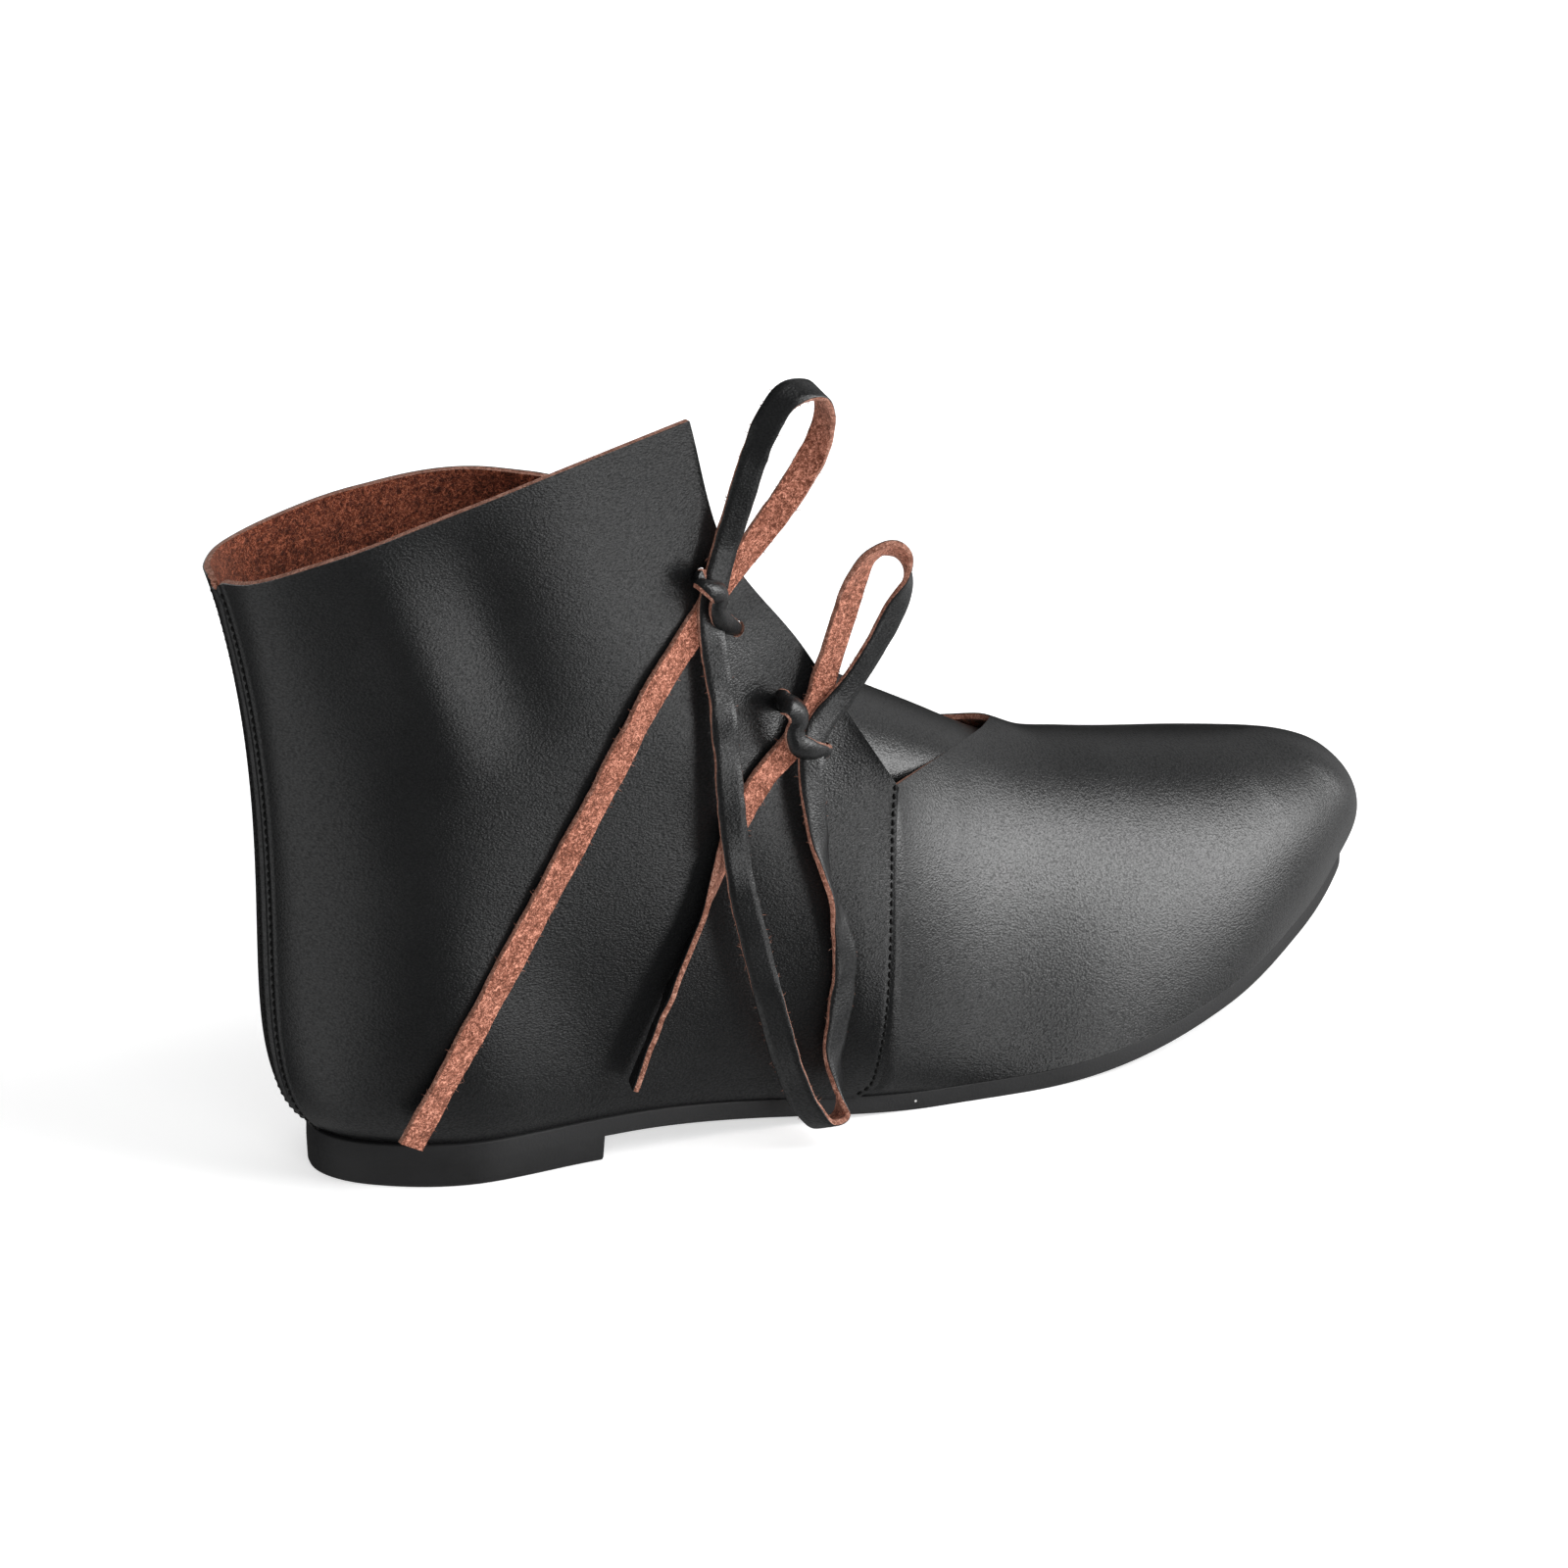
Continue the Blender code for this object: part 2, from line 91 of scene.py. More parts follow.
# Columns: t, outer, inner.
PLAN_ROWS = (
    (0.0, 0.0, 0.0),
    (0.1, 14.0, 14.0),
    (0.2, 25.5, 25.0),
    (0.3, 27.5, 26.0),
    (0.4, 31.0, 23.0),
    (0.5, 38.0, 27.0),
    (0.6, 42.0, 36.0),
    (0.7, 33.0, 39.0),
    (0.8, 16.5, 35.0),
    (0.9, 1.5, 23.0),
    (1.0, -8.0, 8.0),
)
# Columns: t, inset.
FEATHER_ROWS = (
    (0.0, 1.2),
    (0.1, 1.0),
    (0.2, 0.6),
    (0.4, 0.4),
    (0.5, 0.0),
    (0.65, -0.3),
    (1.0, -0.3),
)
# Columns: t, x, y, z.
RIDGE_ROWS = (
    (PEAK, 184.0, 3.0, 76.0),
    (0.66, 208.0, 4.0, 69.5),
    (0.77, 232.0, 5.0, 64.4),
    (0.88, 250.0, 6.0, 61.0),
    (0.95, 258.0, 6.4, 59.7),
    (1.0, 260.5, 6.5, 59.4),
)
TOP_EDGES = {
    OUTER: (
        (0.0, -24.7, 0.0, 147.2),
        (0.07, -21.2, -12.0, 149.5),
        (0.15, -9.0, -22.0, 155.0),
        (0.25, 22.0, -30.0, 164.5),
        (FLAP, 76.0, -37.0, 180.0),
        (0.39, 84.5, -37.0, 151.0),
        (0.425, 107.0, -36.5, 121.0),
        (THROAT, 133.0, -36.0, 82.0),
        (0.51, 159.0, -19.0, 80.5),
    ) + RIDGE_ROWS,
    INNER: (
        (0.0, -24.7, 0.0, 147.2),
        (0.07, -21.4, 11.0, 147.6),
        (0.15, -9.4, 22.0, 148.4),
        (0.25, 26.0, 27.0, 154.0),
        (0.32, 57.0, 22.4, 157.0),
        (0.345, 69.2, 15.0, 155.0),
        (FLAP, 78.5, 7.0, 149.0),
        (0.39, 93.0, 15.0, 129.0),
        (0.425, 113.0, 26.0, 103.0),
        (THROAT, 133.0, 33.0, 73.0),
        (0.51, 158.0, 21.5, 75.0),
    ) + RIDGE_ROWS,
}
# Where the top edge turns a corner.
EDGE_ENDS = (FLAP, THROAT, PEAK, 1.0)

# Columns: t, low_out, low_up, high_out, high_up.
TOE_BELLY = (
    (0.515, 12.5, 3.0, 12.0, 15.0),
    (PEAK, 13.0, 4.0, 12.0, 23.0),
    (0.7, 13.0, 6.0, 12.0, 19.4),
    (0.8, 16.0, 5.5, 14.5, 15.4),
    (0.9, 17.5, 3.5, 16.5, 12.0),
    (1.0, 18.0, 1.5, 17.5, 11.0),
)
BELLY = {
    OUTER: (
        (0.0, 15.0, -31.5, -14.0, -22.0),
        (0.1, 15.0, -30.0, -13.0, -20.0),
        (0.2, 14.0, -13.0, -5.0, 0.0),
        (0.3, 10.0, -8.0, 0.0, 0.0),
        (0.4, 13.0, -6.0, -2.0, 0.0),
        (THROAT, 17.0, -4.0, -1.0, 4.0),
    ) + TOE_BELLY,
    INNER: (
        (0.0, 15.0, -31.5, -14.0, -22.0),
        (0.1, 15.0, -30.0, -13.0, -20.0),
        (0.2, 14.0, -13.0, -3.0, 0.0),
        (0.3, 11.0, -8.0, 5.0, 0.0),
        (FLAP, 12.0, -4.0, 13.0, 0.0),
        (0.4, 12.0, -2.0, 13.0, 0.0),
        (THROAT, 12.0, 0.0, 10.0, 4.0),
    ) + TOE_BELLY,
}

UPPER_HOLES = ((0.373, 0.832), (0.398, 0.886))
LOWER_HOLES = ((0.4177, 0.833), (0.434, 0.831))

# Columns: s, x, y, z, outer_half, inner_half, deep, tilt.
TONGUE_ROWS = (
    (0.0, 194.0, 3.0, 70.2, 13.0, 12.0, 6.0, 90.0),
    (0.15, 180.0, 2.0, 75.0, 16.0, 14.0, 7.0, 85.0),
    (0.3, 162.0, 2.0, 84.6, 23.0, 22.0, 14.0, 72.0),
    (0.5, 130.0, 0.0, 102.0, 27.5, 28.0, 29.0, 55.0),
    (0.75, 96.0, -3.0, 125.0, 26.0, 16.0, 42.0, 38.0),
    (1.0, 69.0, -5.0, 149.0, 22.0, 18.0, 44.0, 24.0),
)

# The whole thong from the end of the upper tail to the end of the lower tail. Turn 0 shows its
# grain to the outer side, 180 its flesh side, and 90 faces the grain away from the bight.
# Columns: x, y, z, turn.
THONG_ROWS = (
    (9.2, -29.1, 15.2, 180.0),
    (19.3, -32.6, 35.1, 180.0),
    (37.0, -35.5, 66.6, 180.0),
    (53.6, -37.3, 95.0, 180.0),
    (67.3, -38.6, 118.5, 180.0),
    (79.2, -38.95, 134.6, 180.0),
    (82.6, -39.1, 139.6, 180.0),
    (92.5, -40.0, 151.0, 165.0),
    (101.6, -41.0, 162.5, 143.0),
    (107.0, -42.0, 172.5, 120.0),
    (107.6, -43.3, 179.6, 100.0),
    (104.8, -44.6, 184.8, 82.0),
    (100.5, -45.5, 186.2, 64.0),
    (95.5, -46.0, 185.4, 44.0),
    (91.2, -46.0, 180.5, 26.0),
    (87.9, -45.0, 172.0, 12.0),
    (84.8, -43.0, 159.0, 0.0),
    (82.4, -41.4, 149.0, 0.0),
    (80.6, -40.9, 141.0, 0.0),
    (79.6, -40.8, 134.6, 0.0),
    (80.3, -41.3, 127.0, 0.0),
    (81.8, -42.4, 115.0, 0.0),
    (83.0, -43.4, 100.0, 0.0),
    (84.0, -44.4, 85.1, 5.0),
    (85.9, -45.4, 69.8, 8.0),
    (89.5, -46.4, 54.1, 12.0),
    (93.6, -47.2, 38.2, 22.0),
    (98.4, -48.0, 22.0, 40.0),
    (103.0, -48.0, 12.2, 50.0),
    (108.4, -47.6, 6.6, 66.0),
    (113.4, -46.2, 7.6, 76.0),
    (113.6, -44.9, 13.0, 52.0),
    (112.0, -44.6, 22.1, 25.0),
    (113.3, -44.8, 33.4, 10.0),
    (114.3, -45.0, 45.1, 0.0),
    (113.2, -45.0, 53.0, 20.0),
    (110.1, -44.2, 64.8, 62.0),
    (109.2, -43.8, 68.8, 50.0),
    (107.2, -43.0, 80.3, 15.0),
    (106.1, -42.2, 93.3, 0.0),
    (106.4, -41.95, 99.0, 0.0),
    (108.2, -41.9, 103.2, 0.0),
    (114.4, -42.8, 110.5, 0.0),
    (119.8, -44.0, 118.5, 12.0),
    (125.0, -45.0, 127.6, 5.0),
    (129.0, -45.5, 137.4, 52.0),
    (127.6, -45.5, 142.4, 96.0),
    (123.6, -45.5, 145.0, 126.0),
    (119.0, -45.0, 143.2, 148.0),
    (116.2, -44.0, 137.8, 162.0),
    (114.0, -43.0, 130.0, 176.0),
    (110.6, -41.8, 118.0, 180.0),
    (106.4, -40.1, 104.4, 180.0),
    (103.4, -39.9, 100.2, 180.0),
    (95.0, -40.2, 93.0, 180.0),
    (87.4, -40.4, 82.2, 168.0),
    (80.1, -40.3, 64.3, 128.0),
    (69.5, -39.0, 40.0, 118.0),
    (65.6, -37.5, 28.8, 116.0),
    (63.2, -36.5, 21.5, 114.0),
)
THONG_NODES = ("upper_tail", "upper_loop", "slack_loop", "lower_loop", "lower_tail")

# Columns: x, y, z, turn, wide.
UPPER_BAND = (
    (82.5, -28.0, 139.0, -150.0, 3.2),
    (79.8, -33.0, 141.0, -150.0, 3.2),
    (77.4, -38.0, 142.9, -140.0, 3.4),
    (75.9, -41.5, 144.2, -115.0, 3.8),
    (75.8, -44.2, 144.4, -80.0, 4.4),
    (77.2, -45.8, 143.6, -48.0, 5.0),
    (79.2, -46.0, 141.9, -28.0, 5.2),
    (80.3, -45.4, 139.8, -20.0, 5.0),
    (80.0, -44.8, 137.4, -15.0, 4.6),
    (80.9, -44.0, 134.9, 0.0, 4.6),
    (83.4, -42.4, 132.0, 10.0, 4.6),
    (86.8, -39.5, 129.5, 20.0, 4.0),
    (89.2, -36.5, 127.6, 25.0, 3.6),
    (91.5, -31.0, 126.0, 30.0, 3.4),
)
LOWER_BAND = (
    (105.5, -28.0, 104.5, -150.0, 3.2),
    (102.6, -33.0, 106.6, -150.0, 3.4),
    (100.0, -37.5, 108.7, -140.0, 3.8),
    (97.9, -41.0, 110.5, -115.0, 4.6),
    (96.9, -44.6, 112.2, -80.0, 5.4),
    (97.9, -46.6, 112.3, -48.0, 6.0),
    (100.0, -47.0, 109.9, -28.0, 6.0),
    (100.9, -46.4, 106.8, -15.0, 5.6),
    (100.2, -45.8, 104.3, -10.0, 5.2),
    (100.9, -45.4, 101.5, 0.0, 5.2),
    (104.3, -44.4, 98.4, 15.0, 5.4),
    (108.8, -42.0, 96.0, 30.0, 4.8),
    (112.4, -38.5, 94.3, 40.0, 4.0),
    (115.0, -33.5, 92.8, 40.0, 3.6),
)

SEAM_FOOT = 0.0065
SEAM_FOOT_HIGH = 0.035
SEAM_FOOT_LONG = 0.12
RIM_HOLD = (0.88, 0.98)
SMOOTH_ROUNDS = 20
OFF_SOLE = (0.0, 0.15)
# A crease runs from (t0, v0) to (t1, v1). Columns: t0, v0, t1, v1, wide, rise.
CREASES = {
    OUTER: (
        (0.190, 0.94, 0.226, 0.66, 9.0, 1.7),
        (0.250, 0.92, 0.272, 0.68, 9.0, -1.5),
        (0.36, 0.45, 0.40, 0.30, 10.0, -0.9),
        (0.24, 0.35, 0.30, 0.15, 14.0, -0.8),
    ),
    INNER: (
        (0.10, 0.97, 0.17, 0.55, 8.0, -1.4),
        (0.17, 0.95, 0.24, 0.62, 8.0, 1.3),
        (0.27, 0.85, 0.33, 0.55, 9.0, -1.2),
    ),
}
CREASE_ENDS = 0.55
CREASE_FOOT = (0.02, 0.15)
ROLL_IN = 0.3
ROLL_HIGH = (0.0, 0.035)
ROLL_FADE = (0.3, 0.45)
NOTCH = 3.2
NOTCH_WIDE = 1.9
NOTCH_HIGH = (0.965, 1.0)
PINCH = 1.4
PINCH_WIDE = 1.5
PINCH_HIGH = (0.94, 1.0)
ALLOWANCE = 0.35
ALLOWANCE_EDGE = (3.0, 4.6)
GROOVE = 1.0
GROOVE_WIDE = 0.75
BACK_PRESS = 0.3
BACK_PRESS_WIDE = 0.55
SIDE_PRESS = 0.25
SIDE_PRESS_WIDE = 0.6
DRAW_SLOPE = 0.24
DRAW_WIDE = 32.0
DRAW_ROUND = 8.0
DRAW_WAY = (0.47, 0.795, -0.382)
DRAW_FADE = (0.68, 1.02)
SEATED = 2.4
# One row for each lace hole. Columns: deep, wide.
DIMPLE_ROWS = ((0.6, 6.0), (0.4, 6.0), (0.6, 6.0), (0.4, 6.0))
DIMPLE_LONG = 0.8
LACED_WAY = np.array([0.86, 0.0, 0.51])
HOLE_SIDES = 20
HOLE_REACH = (-10.0, 6.0)
STITCH_INSET = 1.6
BACK_STITCH = 2.6
STITCH_PITCH = 2.1
STITCH_LONG = 1.55
STITCH_RADIUS = 0.42
STITCH_SIDES = 7
STITCH_RISE = 0.12
STITCH_DIP = 0.9
# Columns: place along a stitch, share of its radius.
STITCH_RINGS = ((-0.5, 0.25), (-0.36, 0.85), (0.0, 1.0), (0.36, 0.85), (0.5, 0.25))
SMALL_STEP = 1e-3
LIP = 0.2
FOLD_ANGLE = 45.0
WELD = 0.02
SLIVER = 0.005

# Columns: t, x, y, z.
INSTEP_ROWS = (
    (0.40, 136.0, 1.0, 104.0),
    (THROAT, 153.0, 2.0, 93.0),
    (0.51, 167.5, 2.6, 84.5),
) + RIDGE_ROWS
# Columns: t, low_out, low_up, high_out, high_up.
VAMP_BELLY = {
    OUTER: (
        (0.40, 35.3, -36.1, 57.8, 0.0),
        (THROAT, 26.0, -24.7, 32.0, 0.0),
        (0.515, 19.1, -10.8, 19.1, 0.0),
    ) + TOE_BELLY[1:],
    INNER: (
        (0.40, 47.5, 25.0, 18.4, 0.0),
        (THROAT, 37.0, 18.0, 16.5, 0.0),
        (0.515, 25.3, 11.0, 14.3, 0.0),
    ) + TOE_BELLY[1:],
}
VAMP_START = 0.40
VAMP_THICK = 1.5
# How the vamp sinks behind the side seam. Columns: deep, start, end.
VAMP_SINKS = ((0.9, -3.0, 0.5), (5.5, 0.0, 9.0))
PEAK_POINT = np.array(RIDGE_ROWS[0][1:])
CUT_TILT = {OUTER: math.radians(50.0), INNER: math.radians(84.0)}
BACK_CUT = (np.array([126.0, 0.0, 82.0]), np.array([77.0, 0.0, -8.0]))
TIP_LIFT = 1.4
TIP_WIDE = 8.0

# Edge profiles of the sole's slabs. Columns: out, share of the height.
SOLE_PROFILE = ((0.0, 0.0), (0.0, 0.9), (-0.1, 0.97), (-0.35, 1.0))
INSOLE_PROFILE = ((-0.6, 0.0), (0.0, 0.25), (0.0, 0.75), (-0.6, 1.0))
HEEL_PROFILE = ((-1.0, 0.0), (-0.55, 0.04), (-0.3, 0.14), (0.0, 1.0))
INSOLE_GAP = 0.3
BREAST_BEVEL = 0.7
OUTSOLE_SECTIONS = 260
INSOLE_SECTIONS = 160
SLAB_ANGLE = 50.0
HEEL_ANGLE = 40.0

# Section of a thong. Columns: share of the width, share of the thickness, material slot.
STRIP_SECTION = (
    (-0.5, 0.30, 0),
    (-0.46, 0.48, 0),
    (-0.25, 0.5, 0),
    (0.0, 0.5, 0),
    (0.25, 0.5, 0),
    (0.46, 0.48, 0),
    (0.5, 0.30, 2),
    (0.5, -0.12, 2),
    (0.46, -0.5, 1),
    (0.25, -0.5, 1),
    (0.0, -0.5, 1),
    (-0.25, -0.5, 1),
    (-0.46, -0.5, 2),
    (-0.5, -0.12, 2),
)
STRIP_ANGLE = 60.0
FINE_STEPS = 1200
# Random runs along a thong. Columns: height, span in steps, seed.
RAGGED = (0.12, 5, 7)
TWIST = (4.0, 13, 3)
BAR_CUP = 1.2
BAR_STEP = 0.5
THONG_STEP = 0.9
INNER_BAR_LIFT = 4.6
INNER_BAR_SUNK = 3.0
INNER_BAR_WIDE = (3.6, 2.4)
FUZZ_COUNT = 480
FUZZ_LONG = (0.3, 1.3)
FUZZ_RADIUS = 0.09
FUZZ_SIDES = 3
FUZZ_SAG = 0.45
FUZZ_ROOT = 0.1
FUZZ_DROP = (-0.1, 0.6)
FUZZ_LEAN = (0.7, 0.5)
FUZZ_SEED = 11
FUZZ_FAT = (1.15, 0.35)
FUZZ_PLACES = (0.0, 0.35, 0.7, 1.0)

# Lamps. Columns: name, x, y, z, wide, high, power, mirrored.
LIGHT_ROWS = (
    ("top", 0.1, 0.1, 2.2, 2.8, 2.8, 20.0, False),
    ("fill", -0.5, -1.8, 0.5, 1.6, 0.9, 20.0, False),
    ("back", 0.2, 2.0, 0.55, 2.0, 0.9, 9.0, True),
)
# Bright patches of the room. Columns: x, y, z, narrow, wide, strength.
ROOM_ROWS = (
    (-0.915, -0.207, -0.342, 0.96, 0.74, 0.8),
    (0.96, -0.04, -0.24, 0.95, 0.6, 0.6),
    (0.483, -0.837, -0.259, 0.996, 0.968, 3.4),
    (0.736, 0.359, 0.574, 0.97, 0.85, 0.35),
    (0.0, 0.0, -1.0, 0.92, 0.6, 0.3),
)
ROOM_LEVEL = 0.03
KEY_AZIMUTH = 57.0
KEY_ELEVATION = 18.0
KEY_LEFT = -0.36
KEY_RIGHT = 0.26
KEY_SLANT = 0.4
KEY_LOW = -0.30
KEY_HIGH = 0.53
KEY_SKEW = 0.1
KEY_SOFT = 0.09
KEY_STRENGTH = 7.0
AIM = (0.07, 0.0, 0.06)
FLOOR_SIZE = 12.0

CAMERA_AZIMUTH = -29.0
CAMERA_ELEVATION = 20.0
CAMERA_PLACE = (-767.1, -1451.2, 717.8)
FOCAL_PIXELS = 6210.0
FRAME_PIXELS = 1600.0
BOOT_PIXEL = (1061.0, 885.0)
CLOSER = 1.28
SENSOR = 36.0

# Dark, middle and light tone of each brown side of the leather. The tones for the panels' inner faces and
# the insole are a darker copy of the flesh side, painted shade for the inside of the boot.
SUEDE_TONES = ((0.10, 0.032, 0.019), (0.29, 0.106, 0.068), (0.66, 0.30, 0.21))
SHADED_FLESH_TONES = ((0.04, 0.009, 0.005), (0.19, 0.045, 0.022), (0.55, 0.17, 0.09))
EDGE_TONES = ((0.12, 0.047, 0.031), (0.25, 0.11, 0.076), (0.45, 0.25, 0.19))


def spline(places, knots, values):
    """Smooth curve through a row of values at each knot."""
    slopes = np.gradient(values, knots, axis=0)
    left = np.clip(np.searchsorted(knots, places, side="right") - 1, 0, len(knots) - 2)
    span = (knots[left + 1] - knots[left])[..., None]
    s = (places[..., None] - knots[left][..., None]) / span
    rise = 3 * s**2 - 2 * s**3
    return (
        values[left] * (1 - rise)
        + values[left + 1] * rise
        + slopes[left] * span * (s**3 - 2 * s**2 + s)
        + slopes[left + 1] * span * (s**3 - s**2)
    )


def curve(places, rows):
    """Smooth curve through a table's rows, read at places in its first column."""
    rows = np.array(rows, float)
    return spline(np.asarray(places, float), rows[:, 0], rows[:, 1:])


def ease(value, start, end):
    """0 before start, 1 after end, smooth between."""
    s = np.clip((value - start) / (end - start), 0.0, 1.0)
    return s * s * (3 - 2 * s)


def bump(value, centre, width):
    """Smooth hump of height 1 around a centre."""
    return np.exp(-(((value - centre) / width) ** 2))


def unit(vectors):
    """Vectors scaled to length 1."""
    return vectors / np.linalg.norm(vectors, axis=-1, keepdims=True)


def run_length(points):
    """Length along a path, or along each row of a grid, at each of its points."""
    steps = np.linalg.norm(np.diff(points, axis=0), axis=-1)
    return np.concatenate([np.zeros((1,) + steps.shape[1:]), np.cumsum(steps, axis=0)])


def read_at(places, along, values):
    """Columns of values along a path, read at places."""
    return np.stack([np.interp(places, along, values[:, k]) for k in range(values.shape[1])], -1)


def plan(t, side):
    """Sole edge from above at columns t."""
    t = np.asarray(t, float)
    x = LENGTH * (1 - np.cos(np.pi * t)) / 2
    y = side * curve(t, PLAN_ROWS)[..., 0 if side == OUTER else 1]
    return np.stack([x, y], -1)


def plan_outward(t, side):
    """Unit normal of the sole edge from above, pointing away from the foot."""
    step = 1e-4
    ahead = plan(np.clip(t + step, 0, 1), side)
    behind = plan(np.clip(t - step, 0, 1), side)
    run = ahead - behind
    return unit(np.stack([-side * run[..., 1], side * run[..., 0]], -1))


def underside(x):
    """Height of the outsole's underside: heel seat, waist, flat tread, toe spring."""
    waist = HEEL_HIGH * (1 - ease(x, WAIST_START, TREAD_START))
    beyond = np.clip((x - TREAD_END) / (LENGTH - TREAD_END), 0.0, None)
    return waist + TOE_SPRING * beyond**SPRING_POWER


def top_edge(t, side):
    """Top edge of the upper: collar, flap front, vamp edge, then the ridge to the toe."""
    rows = np.array(TOP_EDGES[side])
    points = np.zeros(t.shape + (3,))
    start = 0.0
    for end in EDGE_ENDS:
        here = (t >= start) & (t <= end)
        points[here] = curve(t[here], rows[(rows[:, 0] >= start) & (rows[:, 0] <= end)])
        start = end
    return points


def feather(t, side):
    """Lower edge of the upper, just above the outsole, and its outward normal."""
    outward = plan_outward(t, side)
    flat = plan(t, side)
    inset = np.interp(t, *np.array(FEATHER_ROWS).T)
    x, y = (flat - inset[:, None] * outward).T
    z = underside(flat[..., 0]) + SOLE_THICK + SEAT_GAP
    return np.stack([x, y, z], -1), np.stack([*outward.T, np.zeros(len(x))], -1)


def form(t, v, side):
    """Smooth outer face of the upper."""
    t, v = np.broadcast_arrays(np.asarray(t, float), np.asarray(v, float))
    columns = t.ravel()
    low, outward = feather(columns, side)
    belly = curve(columns, BELLY[side])
    points = column_curve(low, outward, top_edge(columns, side), belly, v.ravel())
    return points.reshape(t.shape + (3,))


def column_curve(low, outward, high, belly, v):
    """Column from the sole to a top edge, bellied out on the way."""
    up = np.array([0.0, 0.0, 1.0])
    near_low = low + (high - low) / 3 + outward * belly[:, 0:1] + up * belly[:, 1:2]
    near_high = low + (high - low) * 2 / 3 + outward * belly[:, 2:3] + up * belly[:, 3:4]
    v = v[:, None]
    w = 1 - v
    return w**3 * low + 3 * v * w**2 * near_low + 3 * v**2 * w * near_high + v**3 * high


def tangents(t, v, side):
    """Directions of growing t and of growing v on the upper."""
    along = form(t + SMALL_STEP, v, side) - form(t - SMALL_STEP, v, side)
    return along, form(t, v + SMALL_STEP, side) - form(t, v - SMALL_STEP, side)


def placed(points):
    """Points in metres in the part's frame."""
    points = np.asarray(points, float)
    return (points - np.array([HEEL_MIDDLE, 0.0, 0.0])) * MM


def grid_outward(points, side):
    """Unit normals of a grid of points, pointing away from the foot."""
    along = np.gradient(points, axis=0)
    rise = np.gradient(points, axis=1)
    return unit(-side * np.cross(along, rise) + 1e-12)


def smoothed(points, hold, rounds):
    """Grid evened out along both ways; hold is 1 where a point stays."""
    points = points.copy()
    for _ in range(rounds):
        mean = points.copy()
        mean[1:-1] = (points[:-2] + 2 * points[1:-1] + points[2:]) / 4
        mean[:, 1:-1] = (mean[:, :-2] + 2 * mean[:, 1:-1] + mean[:, 2:]) / 4
        points = points * hold[..., None] + mean * (1 - hold[..., None])
    return points


def grid_faces(rows, across, flip):
    """Quads of a grid of points stored row by row."""
    faces = []
    for i in range(rows - 1):
        for j in range(across - 1):
            a = i * across + j
            quad = (a, a + 1, a + across + 1, a + across)
            faces.append(quad[::-1] if flip else quad)
    return faces


def ring_faces(start, levels, count):
    """Quads between rings of points stored one after another."""
    faces = []
    for a in range(start, start + (levels - 1) * count, count):
        for k in range(count):
            n = (k + 1) % count
            faces.append((a + k, a + n, a + count + n, a + count + k))
    return faces


def ring_caps(start, levels, count):
    """Faces that close the first and the last ring."""
    last = start + (levels - 1) * count
    return [tuple(start + k for k in reversed(range(count))), tuple(last + k for k in range(count))]


def mesh_object(name, vertices, faces, slots, materials):
    """Mesh object in the part's frame with a material slot for each face."""
    mesh = bpy.data.meshes.new(name)
    mesh.from_pydata([tuple(p) for p in placed(vertices)], [], faces)
    for material in materials:
        mesh.materials.append(material)
    mesh.polygons.foreach_set("material_index", np.asarray(slots, np.int32))
    mesh.polygons.foreach_set("use_smooth", np.ones(len(faces), bool))
    mesh.update()
    thing = bpy.data.objects.new(name, mesh)
    bpy.context.scene.collection.objects.link(thing)
    return thing


def finish_piece(thing, nodes=()):
    """Piece rides on the part and stands for the nodes, which are hidden."""
    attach(thing, BODY)
    if nodes:
        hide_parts(*nodes)
    return thing


def sharp_by_angle(mesh, degrees):
    """Mark the edges that fold more than an angle as sharp."""
    mesh.set_sharp_from_angle(angle=math.radians(degrees))


def editable(vertices, faces):
    """Editable mesh from arrays."""
    work = bpy.data.meshes.new("work")
    work.from_pydata([tuple(p) for p in vertices], [], faces)
    made = bmesh.new()
    made.from_mesh(work)
    bpy.data.meshes.remove(work)
    return made


def arrays(made):
    """Points, normals and polygons of an editable mesh, which is freed."""
    made.normal_update()
    made.verts.index_update()
    points = np.array([v.co[:] for v in made.verts])
    normals = np.array([v.normal[:] for v in made.verts])
    polygons = [tuple(v.index for v in f.verts) for f in made.faces]
    made.free()
    return points, normals, polygons


def welded(vertices, faces):
    """Points, normals and polygons with points in the same place merged."""
    made = editable(vertices, faces)
    bmesh.ops.remove_doubles(made, verts=made.verts, dist=WELD)
    bmesh.ops.dissolve_degenerate(made, edges=made.edges, dist=SLIVER)
    return arrays(made)


def open_edges(polygons):
    """Directed edges that only one face uses."""
    seen = set()
    for polygon in polygons:
        for a, b in zip(polygon, polygon[1:] + polygon[:1]):
            seen.add((a, b))
    return [(a, b) for a, b in seen if (b, a) not in seen]


def leather_sheet(name, vertices, faces, thick, materials):
    """Sheet of leather: grain outside, flesh inside, a thin grain lip and a raw cut edge."""
    points, normals, polygons = welded(vertices, faces)
    count = len(points)
    inner = points - normals * thick
    rim = sorted({i for edge in open_edges(polygons) for i in edge})
    lip_at = {i: 2 * count + k for k, i in enumerate(rim)}
    lip = points[rim] - normals[rim] * thick * LIP
    built = list(polygons)
    slots = [0] * len(polygons)
    built += [tuple(count + i for i in reversed(polygon)) for polygon in polygons]
    slots += [1] * len(polygons)
    for a, b in open_edges(polygons):
        built.append((b, a, lip_at[a], lip_at[b]))
        built.append((lip_at[b], lip_at[a], count + a, count + b))
        slots += [0, 2]
    thing = mesh_object(name, np.concatenate([points, inner, lip]), built, slots, materials)
    sharp_by_angle(thing.data, FOLD_ANGLE)
    return thing


def lap(t):
    """How far the quarter stands out where it laps over the vamp."""
    return LAP_STEP * ease(t, THROAT - LAP_FADE, THROAT)


